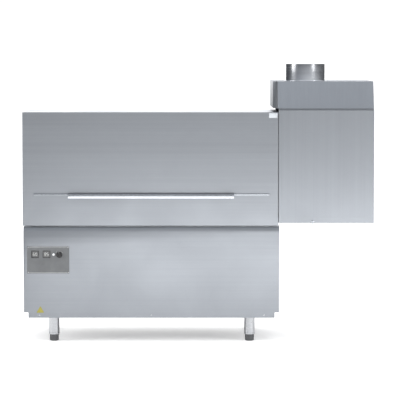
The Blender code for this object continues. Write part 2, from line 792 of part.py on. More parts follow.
def make_rear_panel():
    """A tray-shaped cover with holes for the drain and the water inlet."""
    panel = case(
        "rear_panel",
        (CABINET_LEFT, CABINET_BACK - PANEL_RETURN, BASE_TOP + GAP),
        (CABINET_RIGHT, CABINET_BACK, DECK - SHEET - GAP),
        [-AXES["Y"]],
        SHEET,
        STEEL,
    )
    hole = rod(
        "drain_exit",
        (DRAIN_X, CABINET_BACK - NIP, drain_level()),
        (DRAIN_X, CABINET_BACK + NIP, drain_level()),
        DRAIN_RADIUS + 2 * HOLE_CLEARANCE,
        sides=ROUND,
    )
    cut(panel, hole)


# ---------------------------------------------------------------- tank, drain and strainer


def make_wash_tank():
    """A sloping hopper over a deep basin, hung by a flat rim."""
    left = CABINET_LEFT + SHEET
    right = CABINET_RIGHT - SHEET
    mouth_low = Vector((left + TANK_MOUTH_SIDE, TANK_RIM_FRONT + TANK_MOUTH_FRONT, 0))
    mouth_high = Vector((right - TANK_MOUTH_SIDE, TANK_RIM_BACK - TANK_MOUTH_BACK, 0))
    basin_low = Vector((BASIN_LEFT, BASIN_FRONT, 0))
    basin_high = Vector((BASIN_LEFT + BASIN_LENGTH, BASIN_FRONT + BASIN_WIDTH, 0))
    shape = bmesh.new()
    rings = []
    for low, high, level in (
        (Vector((left, TANK_RIM_FRONT, 0)), Vector((right, TANK_RIM_BACK, 0)), DECK),
        (mouth_low, mouth_high, DECK),
        (basin_low, basin_high, BASIN_TOP),
        (basin_low, basin_high, BASIN_FLOOR),
    ):
        corners = rectangle(low.x, low.y, high.x, high.y)
        rings.append([shape.verts.new((x, y, level)) for x, y in corners])
    for upper, lower in zip(rings, rings[1:]):
        for index in range(4):
            following = (index + 1) % 4
            shape.faces.new([upper[index], upper[following], lower[following], lower[index]])
    shape.faces.new(rings[-1])
    bmesh.ops.recalc_face_normals(shape, faces=shape.faces)
    if shape.faces[0].normal.z < 0:
        bmesh.ops.reverse_faces(shape, faces=shape.faces)
    mesh = bpy.data.meshes.new("wash_tank")
    shape.to_mesh(mesh)
    shape.free()
    tank = thicken(add("wash_tank", mesh, recentre(mesh), STEEL), SHEET, exact=True)
    cut(
        tank,
        rod("drain_hole", (DRAIN_X, DRAIN_Y, BASIN_FLOOR - REACH),
            (DRAIN_X, DRAIN_Y, BASIN_FLOOR + REACH), STANDPIPE_RADIUS + HOLE_CLEARANCE,
            sides=ROUND),
        rod("supply_hole", (PUMP_X, SUPPLY_Y, DECK - REACH), (PUMP_X, SUPPLY_Y, DECK + REACH),
            SUPPLY_RADIUS + HOLE_CLEARANCE),
        rod("crank_hole", (CRANK_X, RACK_CENTRE_Y, BASIN_TOP - HOLE_REACH),
            (CRANK_X, RACK_CENTRE_Y, DECK + REACH), CRANK_SHAFT_RADIUS + SHAFT_CLEARANCE),
        rod("suction_hole", (SUCTION_X, PUMP_Y, BASIN_FLOOR - REACH),
            (SUCTION_X, PUMP_Y, BASIN_FLOOR + REACH), SUCTION_RADIUS - SHAFT_CLEARANCE),
    )


def drain_level():
    return BASIN_FLOOR - SHEET - DRAIN_DROP


def make_drain():
    """The overflow standpipe and the drain line that it stands in."""
    spigot = STANDPIPE_SPIGOT
    inner = STANDPIPE_RADIUS - STANDPIPE_WALL
    foot = BASIN_FLOOR - spigot
    height = STANDPIPE_TOP - foot
    seat = spigot + GAP
    collar = STANDPIPE_RADIUS + STANDPIPE_COLLAR
    profile = [(inner, 0), (STANDPIPE_RADIUS, 0), (STANDPIPE_RADIUS, seat), (collar, seat)]
    profile += [(collar, seat + STANDPIPE_COLLAR), (STANDPIPE_RADIUS, seat + STANDPIPE_COLLAR)]
    profile += [(STANDPIPE_RADIUS, height), (inner, height)]
    turned("standpipe", profile, (DRAIN_X, DRAIN_Y, foot), AXES["Z"], STEEL, ring=True)
    level = drain_level()
    bend = DRAIN_BEND
    pipe(
        "drain_outlet",
        [
            (DRAIN_X, DRAIN_Y, BASIN_FLOOR - SHEET - GAP),
            (DRAIN_X, DRAIN_Y, level + bend),
            (DRAIN_X, DRAIN_Y + bend, level),
            (DRAIN_X, CABINET_BACK + FITTING_LENGTH, level),
        ],
        DRAIN_RADIUS,
        DRAIN_WALL,
        STEEL,
    )


def make_strainer():
    """A shallow tray with a lifting handle, resting on the hopper over the basin."""
    rise = STRAINER_RISE
    front_slope = (BASIN_FRONT - (TANK_RIM_FRONT + TANK_MOUTH_FRONT)) / HOPPER_DEPTH
    back_slope = (TANK_RIM_BACK - TANK_MOUTH_BACK - BASIN_FRONT - BASIN_WIDTH) / HOPPER_DEPTH
    bottom = BASIN_TOP + rise
    low = (BASIN_LEFT + STRAINER_INSET, BASIN_FRONT - front_slope * rise + GAP, bottom)
    high = (
        low[0] + STRAINER_LENGTH,
        BASIN_FRONT + BASIN_WIDTH + back_slope * rise - GAP,
        bottom + STRAINER_DEPTH,
    )
    tray = case("strainer_tray", low, high, [AXES["Z"]], STRAINER_WALL, STEEL)
    middle_y = (low[1] + high[1]) / 2
    middle_x = (low[0] + high[0]) / 2
    for sign in (-1, 1):
        x = middle_x + sign * STRAINER_GRIP / 2
        join(tray, block(f"strainer_post_{sign}",
                         (x - STRAINER_POST / 2, middle_y - STRAINER_GRIP_WIDTH / 2, bottom + STEP / 2),
                         (x + STRAINER_POST / 2, middle_y + STRAINER_GRIP_WIDTH / 2,
                          bottom + STRAINER_GRIP_TOP - STEP)))
    join(tray, block("strainer_grip",
                     (middle_x - (STRAINER_GRIP + STRAINER_POST) / 2, middle_y - STRAINER_GRIP_WIDTH / 2,
                      bottom + STRAINER_GRIP_TOP - STRAINER_POST),
                     (middle_x + (STRAINER_GRIP + STRAINER_POST) / 2, middle_y + STRAINER_GRIP_WIDTH / 2,
                      bottom + STRAINER_GRIP_TOP)))


# ---------------------------------------------------------------- wash hood and door


def opening_sides():
    """Y of the rack openings' front and rear edges."""
    reach = RACK_SIZE / 2 + RACK_PLAY + RAIL_SHEET + TUNNEL_SIDE
    return RACK_CENTRE_Y - reach, RACK_CENTRE_Y + reach


def rack_opening(name, x):
    """A cutter for the opening that racks pass, through a wall near this x."""
    front, back = opening_sides()
    sill = TRACK_HEIGHT - RAIL_SHEET - GAP
    return block(name, (x - REACH, front, sill), (x + REACH, back, TRACK_HEIGHT + TUNNEL_CLEAR))


def make_wash_hood():
    """The chamber's walls and roof, standing on the tank's rim."""
    hood = case(
        "wash_hood",
        (LEFT, HOOD_FRONT, HOOD_BOTTOM),
        (JOIN - GAP, HOOD_BACK, HOOD_TOP),
        [-AXES["Z"]],
        SHEET,
        STEEL,
    )
    slot_side = BAR_WIDTH / 2 + BAR_SLOT_MARGIN
    cut(
        hood,
        block("door_mouth", (LEFT + MOUTH_SIDE, HOOD_FRONT - REACH, HOOD_BOTTOM + MOUTH_SILL),
              (JOIN - MOUTH_SIDE, HOOD_FRONT + REACH, HOOD_TOP - MOUTH_HEAD)),
        rack_opening("entry_opening", LEFT),
        rack_opening("middle_opening", JOIN),
        block("bar_slot",
              (JOIN - REACH, RACK_CENTRE_Y - slot_side, bar_top() - BAR_HEIGHT - GAP),
              (JOIN + REACH, RACK_CENTRE_Y + slot_side, TRACK_HEIGHT + REACH)),
    )


def make_door_skins():
    case("door_outer_skin", (LEFT, DOOR_FACE, DOOR_BOTTOM), (DOOR_RIGHT, DOOR_BACK, DOOR_TOP),
         [AXES["Y"]], DOOR_SHEET, STEEL)
    inset = DOOR_SHEET + GAP
    case(
        "door_inner_skin",
        (LEFT + inset, DOOR_BACK - DOOR_INNER_DEPTH, DOOR_BOTTOM + inset),
        (DOOR_RIGHT - inset, DOOR_BACK, DOOR_TOP - inset),
        [-AXES["Y"]],
        DOOR_SHEET,
        STEEL,
    )


def make_door_handle():
    """A folded grip across the middle, with a thin rail running on to both sides of it."""
    top = DOOR_BOTTOM + HANDLE_RISE
    back = DOOR_FACE - GAP
    half = HANDLE_SHEET / 2
    path = [
        (back - half, top - HANDLE_PLATE),
        (back - half, top - half),
        (FRONT + half, top - half),
        (FRONT + half, top - HANDLE_LIP),
    ]
    handle = folded(
        "door_handle", path, "X", LEFT + GRIP_INSET_LEFT, DOOR_RIGHT - GRIP_INSET_RIGHT,
        HANDLE_SHEET, STEEL,
    )
    shy = SHY
    join(
        handle,
        block("handle_rail",
              (LEFT + HANDLE_INSET_LEFT, back - HANDLE_RAIL_DEPTH, top - HANDLE_LIP),
              (DOOR_RIGHT - HANDLE_INSET_RIGHT, back - shy, top - shy)),
    )
    cheek = [(back - shy, top - HANDLE_PLATE), (back - shy, top - half),
             (FRONT + shy, top - half), (FRONT + shy, top - HANDLE_LIP)]
    for side, x in (("left", LEFT + GRIP_INSET_LEFT + shy),
                    ("right", DOOR_RIGHT - GRIP_INSET_RIGHT - HANDLE_SHEET - shy)):
        join(handle, prism("handle_cheek_" + side, cheek, "X", x, x + HANDLE_SHEET))


def guide_centres():
    return {"left": LEFT + GUIDE_INSET, "right": DOOR_RIGHT - GUIDE_INSET}


def make_door_guides():
    """A lipped channel at each end of the hood's front, open towards the door."""
    half = GUIDE_WIDTH / 2 - GUIDE_WALL / 2
    front = GUIDE_FRONT + GUIDE_WALL / 2
    back = GUIDE_BACK - GUIDE_WALL / 2
    for side, x in guide_centres().items():
        lip = half - GUIDE_LIP
        path = [(x - lip, front), (x - half, front), (x - half, back),
                (x + half, back), (x + half, front), (x + lip, front)]
        folded("door_guide_" + side, path, "Z", HOOD_BOTTOM + GUIDE_MARGIN,
               HOOD_TOP - GUIDE_MARGIN, GUIDE_WALL, STEEL)


def make_guide_shoes():
    """A long slider in each guide, its neck in the slot, with a lug for the balance strip."""
    bottom = DOOR_BOTTOM + SHOE_RAISE
    head = GUIDE_WIDTH / 2 - GUIDE_WALL - SHOE_CLEARANCE
    neck = GUIDE_WIDTH / 2 - GUIDE_LIP - GUIDE_WALL / 2 - SHOE_CLEARANCE
    head_front = GUIDE_FRONT + GUIDE_WALL + SHOE_CLEARANCE
    head_back = GUIDE_BACK - GUIDE_WALL - SHOE_CLEARANCE
    plate_y = DOOR_BACK + GAP
    step = STEP
    for side, x in guide_centres().items():
        inward = 1 if side == "left" else -1
        lug_near = x + inward * (GUIDE_WIDTH / 2 + LUG_CLEARANCE)
        lug_far = lug_near + inward * LUG_SIZE
        lug_left, lug_right = sorted((lug_near, lug_far))
        join(
            block("guide_shoe_" + side, (x - head, head_front, bottom),
                  (x + head, head_back, bottom + SHOE_LENGTH), NYLON),
            block("shoe_neck_" + side, (x - neck, plate_y, bottom + step),
                  (x + neck, head_front + 4 * step, bottom + SHOE_LENGTH - step)),
            block("shoe_plate_" + side, (min(x, lug_far), plate_y, bottom + 2 * step),
                  (max(x, lug_far), plate_y + SHOE_PLATE, bottom + LUG_HEIGHT)),
            block("shoe_lug_" + side, (lug_left + step / 2, plate_y + GAP, bottom + 3 * step),
                  (lug_right - step / 2, head_back, bottom + LUG_HEIGHT - step)),
        )


def reel_places():
    """Each balance reel's axis: the middle of its pin's seat on the hood."""
    level = HOOD_TOP - REEL_DROP
    centres = guide_centres()
    return {
        "left": Vector((centres["left"] + REEL_OFFSET, HOOD_FRONT - GAP, level)),
        "right": Vector((centres["right"] - REEL_OFFSET, HOOD_FRONT - GAP, level)),
    }


def make_balance_reels():
    """A flanged drum that winds up the spring strip which carries the door."""
    for side, seat in reel_places().items():
        flange = REEL_FLANGE
        pin = REEL_PIN
        profile = [(0, 0), (REEL_PIN_RADIUS, 0), (REEL_PIN_RADIUS, pin), (REEL_RADIUS, pin)]
        profile += [(REEL_RADIUS, pin + flange), (REEL_HUB_RADIUS, pin + flange)]
        profile += [(REEL_HUB_RADIUS, REEL_WIDTH - flange), (REEL_RADIUS, REEL_WIDTH - flange)]
        profile += [(REEL_RADIUS, REEL_WIDTH), (0, REEL_WIDTH)]
        turned("balance_reel_" + side, profile, seat, -AXES["Y"], DARK_STEEL)


# ---------------------------------------------------------------- rack path and conveyor


def make_track_rails():
    """Two angle rails the whole length of the machine: a ledge and an outer guard."""
    start, end = LEFT + RAIL_INSET, RIGHT - RAIL_INSET
    level = TRACK_HEIGHT - RAIL_SHEET / 2
    for name, outward in (("front_track_rail", -1), ("rear_track_rail", 1)):
        guard = RACK_CENTRE_Y + outward * (RACK_SIZE / 2 + RACK_PLAY + RAIL_SHEET / 2)
        ledge = guard - outward * RAIL_LEDGE
        path = [(ledge, level), (guard, level), (guard, level + RAIL_GUARD)]
        folded(name, path, "X", start, end, RAIL_SHEET, STEEL)


def bar_top():
    return TRACK_HEIGHT - BAR_DROP


def make_conveyor_bar():
    """The reciprocating bar under the racks, with a row of pushing pawls."""
    half = BAR_WIDTH / 2
    left = LEFT + BAR_INSET
    right = RIGHT - CURTAIN_INSET - BAR_STROKE - BAR_PLAY - REACH
    low = bar_top() - BAR_HEIGHT
    path = [(RACK_CENTRE_Y - half + STEP, low), (RACK_CENTRE_Y - half + STEP, bar_top() - STEP),
            (RACK_CENTRE_Y + half - STEP, bar_top() - STEP), (RACK_CENTRE_Y + half - STEP, low)]
    bar = folded("conveyor_bar", path, "X", left, right, BAR_WALL, STEEL)
    pitch = (right - left - 2 * PAWL_INSET) / (PAWL_COUNT - 1)
    for index in range(PAWL_COUNT):
        x = left + PAWL_INSET + pitch * index
        outline = [(x - PAWL_LENGTH / 2, bar_top() - PAWL_SINK), (x + PAWL_LENGTH / 2, bar_top() - PAWL_SINK),
                   (x + PAWL_LENGTH / 2, TRACK_HEIGHT + PAWL_RISE), (x + PAWL_LENGTH / 4,
                   TRACK_HEIGHT + PAWL_RISE)]
        pawl = prism(f"pawl_{index}", outline, "Y", RACK_CENTRE_Y - PAWL_WIDTH / 2,
                     RACK_CENTRE_Y + PAWL_WIDTH / 2)
        join(bar, pawl)


def make_drive():
    """The gear motor standing on the base frame, and the crank on its shaft."""
    half = GEARBOX_SIZE / 2
    box_low = GEARBOX_TOP - GEARBOX_HEIGHT
    pedestal = GEAR_PEDESTAL
    motor = block("gear_motor", (CRANK_X - half, RACK_CENTRE_Y - half, box_low),
                  (CRANK_X + half, RACK_CENTRE_Y + half, GEARBOX_TOP), PAINTED)
    join(
        motor,
        rod("gear_motor_body", (CRANK_X, RACK_CENTRE_Y, BASE_TOP + pedestal - NIP),
            (CRANK_X, RACK_CENTRE_Y, box_low + NIP), GEAR_MOTOR_RADIUS, sides=ROUND),
        block("gear_motor_foot", (CRANK_X - BASE_RAIL / 2, RACK_CENTRE_Y - GEAR_FOOT_REACH, BASE_TOP + GAP),
              (CRANK_X + BASE_RAIL / 2, RACK_CENTRE_Y + GEAR_FOOT_BACK, BASE_TOP + pedestal)),
    )
    pin_top = bar_top() - BAR_HEIGHT - CRANK_DROP
    arm_top = pin_top - CRANK_PIN_HEIGHT
    arm_low = arm_top - CRANK_PLATE
    shaft_low = GEARBOX_TOP + GAP
    crank = rod("drive_crank", (CRANK_X, RACK_CENTRE_Y, shaft_low),
                (CRANK_X, RACK_CENTRE_Y, arm_top - STEP / 2), CRANK_SHAFT_RADIUS, STEEL)
    pin_x = CRANK_X + CRANK_RADIUS
    join(
        crank,
        block("crank_arm", (CRANK_X - CRANK_HUB, RACK_CENTRE_Y - CRANK_ARM_WIDTH / 2, arm_low),
              (pin_x + CRANK_TIP, RACK_CENTRE_Y + CRANK_ARM_WIDTH / 2, arm_top)),
        rod("crank_pin", (pin_x, RACK_CENTRE_Y, arm_low + CRANK_PIN_SINK), (pin_x, RACK_CENTRE_Y, pin_top),
            CRANK_PIN_RADIUS),
    )


# ---------------------------------------------------------------- pump, pipes and spray arms


def make_pump():
    """A volute on the basin's suction pipe, its impeller, and the motor behind it."""
    centre = Vector((PUMP_X - VOLUTE_WIDTH / 2, PUMP_Y, PUMP_Z))
    inner = VOLUTE_RADIUS - VOLUTE_WALL
    shaft_hole = PUMP_SHAFT_RADIUS + SHAFT_CLEARANCE / 2
    width = VOLUTE_WIDTH
    profile = [(SUCTION_RADIUS, 0), (VOLUTE_RADIUS, 0), (VOLUTE_RADIUS, width)]
    profile += [(shaft_hole, width), (shaft_hole, width - VOLUTE_WALL), (inner, width - VOLUTE_WALL)]
    profile += [(inner, VOLUTE_WALL), (SUCTION_RADIUS, VOLUTE_WALL)]
    volute = turned("wash_pump", profile, centre, AXES["X"], DARK_STEEL, ring=True)
    outlet_z = PUMP_Z + OUTLET_RISE
    middle_x = PUMP_X
    outlet_end = PUMP_Y + VOLUTE_RADIUS + OUTLET_STUB
    bore = SUPPLY_RADIUS - SUPPLY_WALL
    join(volute, rod("volute_outlet", (middle_x, PUMP_Y + OUTLET_ROOT, outlet_z),
                     (middle_x, outlet_end, outlet_z), SUPPLY_RADIUS))
    cut(volute, rod("volute_outlet_bore", (middle_x, PUMP_Y + OUTLET_BORE_ROOT, outlet_z),
                    (middle_x, outlet_end + NIP, outlet_z), bore - STEP))
    cut(volute, rod("volute_cavity", (centre.x + VOLUTE_WALL, PUMP_Y, PUMP_Z),
                    (centre.x + width - VOLUTE_WALL, PUMP_Y, PUMP_Z), inner - STEP / 2))
    elbow_top = BASIN_FLOOR - SHEET - GAP
    join(volute, rod("suction_elbow", (SUCTION_X, PUMP_Y, PUMP_Z - SUCTION_RADIUS - SUCTION_WALL),
                     (SUCTION_X, PUMP_Y, elbow_top), SUCTION_RADIUS + SUCTION_WALL))
    join(volute, rod("suction_stub", (SUCTION_X, PUMP_Y, PUMP_Z),
                     (centre.x + VOLUTE_WALL / 2, PUMP_Y, PUMP_Z), SUCTION_RADIUS + SUCTION_STUB_WALL))
    cut(volute, rod("suction_bore", (SUCTION_X, PUMP_Y, PUMP_Z - SUCTION_BEND * SUCTION_SUMP),
                    (SUCTION_X, PUMP_Y, elbow_top + REACH), SUCTION_RADIUS))
    cut(volute, rod("suction_stub_bore", (SUCTION_X, PUMP_Y, PUMP_Z),
                    (centre.x + VOLUTE_WALL + NIP / 4, PUMP_Y, PUMP_Z), SUCTION_RADIUS - STEP))

    wheel = paddle_wheel(
        "pump_impeller", (centre.x + width - VOLUTE_WALL - IMPELLER_SETBACK, PUMP_Y, PUMP_Z), -AXES["X"],
        PUMP_SHAFT_RADIUS + IMPELLER_HUB_WALL, IMPELLER_RADIUS, IMPELLER_BLADES,
        IMPELLER_WIDTH, IMPELLER_PLATE, BRASS,
    )
    shaft_end = PUMP_X + VOLUTE_WIDTH / 2
    join(wheel, rod("impeller_shaft", (wheel.location.x - NIP, PUMP_Y, PUMP_Z),
                    (shaft_end, PUMP_Y, PUMP_Z), PUMP_SHAFT_RADIUS))

    start = shaft_end + GAP
    end = start + PUMP_MOTOR_LENGTH
    motor = rod("pump_motor", (start, PUMP_Y, PUMP_Z), (end, PUMP_Y, PUMP_Z), PUMP_MOTOR_RADIUS,
                PAINTED, ROUND)
    foot_x = cross_member_places()[2]
    foot_bottom = BASE_TOP + GAP
    join(motor, block("pump_motor_foot",
                      (foot_x - BASE_RAIL / 2, PUMP_Y - PUMP_MOTOR_RADIUS * 0.9, foot_bottom),
                      (foot_x + BASE_RAIL / 2, PUMP_Y + PUMP_MOTOR_RADIUS * 0.9, PUMP_Z)))


def make_supply_pipe():
    """The riser from the pump, through the tank's rim, up behind the racks."""
    outlet_z = PUMP_Z + OUTLET_RISE
    start = PUMP_Y + VOLUTE_RADIUS + OUTLET_STUB + GAP
    bend = SUPPLY_BEND
    top = TRACK_HEIGHT + UPPER_ARM_RISE + SUPPLY_RADIUS
    pipe(
        "supply_pipe",
        [
            (PUMP_X, start, outlet_z),
            (PUMP_X, SUPPLY_Y - bend, outlet_z),
            (PUMP_X, SUPPLY_Y, outlet_z + bend),
            (PUMP_X, SUPPLY_Y, top),
        ],
        SUPPLY_RADIUS,
        SUPPLY_WALL,
        STEEL,
    )


def make_wash_arm(name, level):
    """Cross tubes fed by a header that ends in a stub against the supply pipe."""
    header_y = SUPPLY_Y - HEADER_INSET
    front = HOOD_FRONT + ARM_FRONT_INSET
    places = [ARM_FIRST + ARM_PITCH * index for index in range(ARM_COUNT)]
    header_low = places[0] - HEADER_END
    header_high = max(places[-1], PUMP_X + SUPPLY_RADIUS) + HEADER_END
    arm = rod(name, (header_low, header_y, level), (header_high, header_y, level), ARM_RADIUS + HEADER_EXTRA,
              STEEL)
    bore = ARM_RADIUS - ARM_WALL
    holes = []
    for index, x in enumerate(places):
        join(arm, rod(f"{name}_tube_{index}", (x, front, level), (x, header_y, level), ARM_RADIUS))
        holes.append(rod(f"{name}_bore_{index}", (x, front + ARM_WALL, level),
                         (x, header_y, level), bore))
    stub_end = SUPPLY_Y - STUB_SHORT
    join(arm, rod(name + "_stub", (PUMP_X, header_y, level), (PUMP_X, stub_end, level), ARM_RADIUS))
    holes.append(rod(name + "_stub_bore", (PUMP_X, header_y, level), (PUMP_X, stub_end + NIP, level),
                     bore))
    holes.append(rod(name + "_saddle", (PUMP_X, SUPPLY_Y, level - HOLE_REACH),
                     (PUMP_X, SUPPLY_Y, level + HOLE_REACH), SUPPLY_RADIUS + GAP, sides=ROUND))
    holes.append(rod(name + "_header_bore", (header_low + ARM_WALL, header_y, level),
                     (header_high - ARM_WALL, header_y, level), bore + HEADER_BORE_EXTRA))
    cut(arm, *holes)


def make_rinse_arch():
    """A small pipe bent round the racks' path, open at its feed end behind."""
    front = opening_sides()[0]
    back = HOOD_BACK - SHEET - GAP
    low = TRACK_HEIGHT - LOWER_ARM_DROP
    high = TRACK_HEIGHT + UPPER_ARM_RISE
    pipe(
        "rinse_arch",
        [
            (RINSE_X, back, low),
            (RINSE_X, front + RINSE_LOW_BEND, low),
            (RINSE_X, front - RINSE_BOW, low + RINSE_HIGH_BEND),
            (RINSE_X, front - RINSE_BOW, high - 2 * RINSE_HIGH_BEND),
            (RINSE_X, front + RINSE_HIGH_BEND, high),
            (RINSE_X, back, high),
        ],
        RINSE_RADIUS,
        finish=STEEL,
    )


def serpentine(left, right, front, back, level, runs):
    """Points of a flat coil of straight runs along X, from the front edge to the back."""
    pitch = (back - front) / (runs - 1)
    points = []
    for index in range(runs):
        y = front + pitch * index
        ends = (left, right) if index % 2 == 0 else (right, left)
        points += [(ends[0], y, level), (ends[1], y, level)]
    return points


def make_heaters():
    inset = TANK_HEATER_INSET
    pipe(
        "tank_heater",
        serpentine(BASIN_LEFT + TANK_HEATER_START, DRAIN_X - TANK_HEATER_END, BASIN_FRONT + inset,
                   BASIN_FRONT + BASIN_WIDTH - inset, BASIN_FLOOR + TANK_HEATER_RADIUS + GAP,
                   TANK_HEATER_RUNS),
        TANK_HEATER_RADIUS,
        finish=DARK_STEEL,
    )
    pipe(
        "dryer_heater",
        serpentine(JOIN + DRYER_HEATER_START, RIGHT - DRYER_HEATER_INSET, RACK_CENTRE_Y - DRYER_HEATER_REACH,
                   HOOD_BACK - DRYER_HEATER_BACK, DRYER_TOP - DRYER_HEATER_DROP, DRYER_HEATER_RUNS)
        + [(RIGHT - DRYER_HEATER_INSET, HOOD_BACK - SHEET - GAP, DRYER_TOP - DRYER_HEATER_DROP)],
        DRYER_HEATER_RADIUS,
        finish=DARK_STEEL,
    )
    height = BOOSTER_HEIGHT
    dome = [
        (BOOSTER_RADIUS * math.cos(turn), height - BOOSTER_DOME + BOOSTER_DOME * math.sin(turn))
        for turn in (math.radians(15 * step) for step in range(6))
    ]
    shrink = 1 - BOOSTER_WALL / BOOSTER_RADIUS
    lining = [(max(radius * shrink, BOOSTER_PORT), level - BOOSTER_WALL) for radius, level in dome]
    profile = [(0, 0), (BOOSTER_RADIUS, 0)] + dome + [(BOOSTER_PORT, height)]
    profile += [(BOOSTER_PORT, height - BOOSTER_WALL)] + lining[::-1]
    profile += [(BOOSTER_RADIUS - BOOSTER_WALL, BOOSTER_WALL), (0, BOOSTER_WALL)]
    turned("booster_heater", profile, (BOOSTER_X, BOOSTER_Y, BASE_TOP + GAP), AXES["Z"], STEEL)


# ---------------------------------------------------------------- control panel


def control_point(across, up):
    return CONTROL_LEFT + across, CONTROL_BOTTOM + up


def make_control_panel():
    """The grey plate with two displays, a lamp and a knob, and the sheet box behind it."""
    right = CONTROL_LEFT + CONTROL_WIDTH
    top = CONTROL_BOTTOM + CONTROL_HEIGHT
    face = PANEL_FACE - GAP - CONTROL_PLATE
    plate = block("control_plate", (CONTROL_LEFT, face, CONTROL_BOTTOM),
                  (right, PANEL_FACE - GAP, top), CONTROL_GREY)
    case("control_box", (CONTROL_LEFT, PANEL_FACE + SHEET + GAP, CONTROL_BOTTOM),
         (right, PANEL_FACE + CONTROL_BOX_DEPTH, top), [-AXES["Y"]], CONTROL_BOX_WALL, STEEL)
    for name, across in (("wash_display", WASH_DISPLAY_X), ("rinse_display", RINSE_DISPLAY_X)):
        x, z = control_point(across, DISPLAY_RISE)
        half_x, half_z = DISPLAY_WIDTH / 2, DISPLAY_HEIGHT / 2
        step = DISPLAY_STEP
        bezel = block(name, (x - half_x, face - DISPLAY_PROUD, z - half_z),
                      (x + half_x, face - GAP, z + half_z), BLACK)
        join(bezel, block(name + "_body", (x - half_x + step, face - DISPLAY_PROUD / 2, z - half_z + step),
                          (x + half_x - step, face + DISPLAY_DEPTH, z + half_z - step)))
        shy = step - GAP
        cut(plate, block(name + "_hole", (x - half_x + shy, face - NIP, z - half_z + shy),
                         (x + half_x - shy, face + NIP, z + half_z - shy)))
    x, z = control_point(LAMP_X, LAMP_RISE)
    lens = [(0, -LAMP_DEPTH), (LAMP_RADIUS - STEP, -LAMP_DEPTH), (LAMP_RADIUS - STEP, CONTROL_PLATE + GAP),
            (LAMP_RADIUS + STEP, CONTROL_PLATE + GAP), (LAMP_RADIUS + STEP, CONTROL_PLATE + STEP),
            (LAMP_RADIUS * LAMP_CROWN, CONTROL_PLATE + LAMP_PROUD - LAMP_DOME),
            (0, CONTROL_PLATE + LAMP_PROUD)]
    turned("lamp_lens", lens, (x, PANEL_FACE - GAP, z), -AXES["Y"], WHITE)
    cut(plate, rod("lamp_hole", (x, face - NIP, z), (x, face + NIP, z), LAMP_RADIUS - STEP + GAP))
    x, z = control_point(KNOB_X, KNOB_RISE)
    start = -KNOB_STEM
    knob = [(0, start), (KNOB_SHAFT_RADIUS, start), (KNOB_SHAFT_RADIUS, CONTROL_PLATE + GAP),
            (KNOB_RADIUS, CONTROL_PLATE + GAP), (KNOB_RADIUS, CONTROL_PLATE + KNOB_SKIRT),
            (KNOB_RADIUS * KNOB_TAPER, CONTROL_PLATE + KNOB_DEPTH), (0, CONTROL_PLATE + KNOB_DEPTH)]
    turned("selector_knob", knob, (x, PANEL_FACE - GAP, z), -AXES["Y"], BLACK)
    cut(plate, rod("knob_hole", (x, face - NIP, z), (x, face + NIP, z), KNOB_SHAFT_RADIUS + STEP / 2))


def make_rear_fittings():
    """The water inlet and the cable gland, each a hexagon and a short neck."""
    for name, x, z, finish in (
        ("water_inlet", INLET_X, INLET_Z, BRASS),
        ("cable_gland", GLAND_X, GLAND_Z, BLACK),
    ):
        seat = CABINET_BACK + GAP
        fitting = rod(name, (x, seat, z), (x, seat + FITTING_HEX, z), FITTING_HEX_RADIUS, finish, 6)
        join(fitting, rod(name + "_neck", (x, seat + FITTING_SEAT, z), (x, CABINET_BACK + FITTING_LENGTH, z),
                          FITTING_RADIUS))
        cut(fitting, rod(name + "_bore", (x, seat + FITTING_FLOOR, z), (x, CABINET_BACK + HOLE_REACH, z),
                         FITTING_RADIUS * 0.7))


# ---------------------------------------------------------------- drying tunnel


def make_dryer_housing():
    """A sheet tunnel hung on the body's end, open to the body and through a frame at its front."""
    housing = case(
        "dryer_housing",
        (JOIN, DRYER_FRONT, DRYER_BOTTOM),
        (RIGHT, HOOD_BACK, DRYER_TOP),
        [-AXES["X"]],
        SHEET,
        STEEL,
    )
    cut(
        housing,
        block("service_opening",
              (JOIN + DRYER_FRAME, DRYER_FRONT - REACH, DRYER_BOTTOM + DRYER_FRAME),
              (RIGHT - DRYER_FRAME, DRYER_FRONT + REACH, COVER_TOP - DRYER_FRAME)),
        rack_opening("exit_opening", RIGHT),
        block("air_gate_in", (JOIN + AIR_GATE_LEFT, RACK_CENTRE_Y - AIR_GATE_WIDTH / 2, DRYER_TOP - REACH),
              (JOIN + AIR_GATE_LEFT + AIR_GATE_LENGTH, RACK_CENTRE_Y + AIR_GATE_WIDTH / 2,
               DRYER_TOP + REACH)),
    )


def make_dryer_cover():
    """The top-hung front cover, its origin on the hinge line along its top front edge."""
    outline = [
        (COVER_FACE + COVER_THICKNESS, DRYER_BOTTOM),
        (COVER_FACE, DRYER_BOTTOM),
        (COVER_FACE, COVER_TOP),
        (COVER_FACE + COVER_THICKNESS, COVER_TOP),
    ]
    open_prism("dryer_front_cover", outline, "X", JOIN, RIGHT, [AXES["Y"]], SHEET, STEEL)

    x, z = LATCH_X, DRYER_BOTTOM + LATCH_RISE
    profile = [(0, 0), (LATCH_RADIUS, 0), (LATCH_RADIUS, LATCH_HEAD - LATCH_EDGE),
               (LATCH_RADIUS * LATCH_CROWN, LATCH_HEAD), (0, LATCH_HEAD)]
    latch = turned("cover_latch", profile, (x, COVER_FACE - GAP, z), -AXES["Y"], STEEL)
    half = LATCH_TONGUE_WIDTH / 2
    join(latch, block("latch_tongue", (x - half, COVER_FACE - GAP - LATCH_TONGUE_DEPTH, z - LATCH_TONGUE),
                      (x + half, COVER_FACE - GAP - SHY, z)))


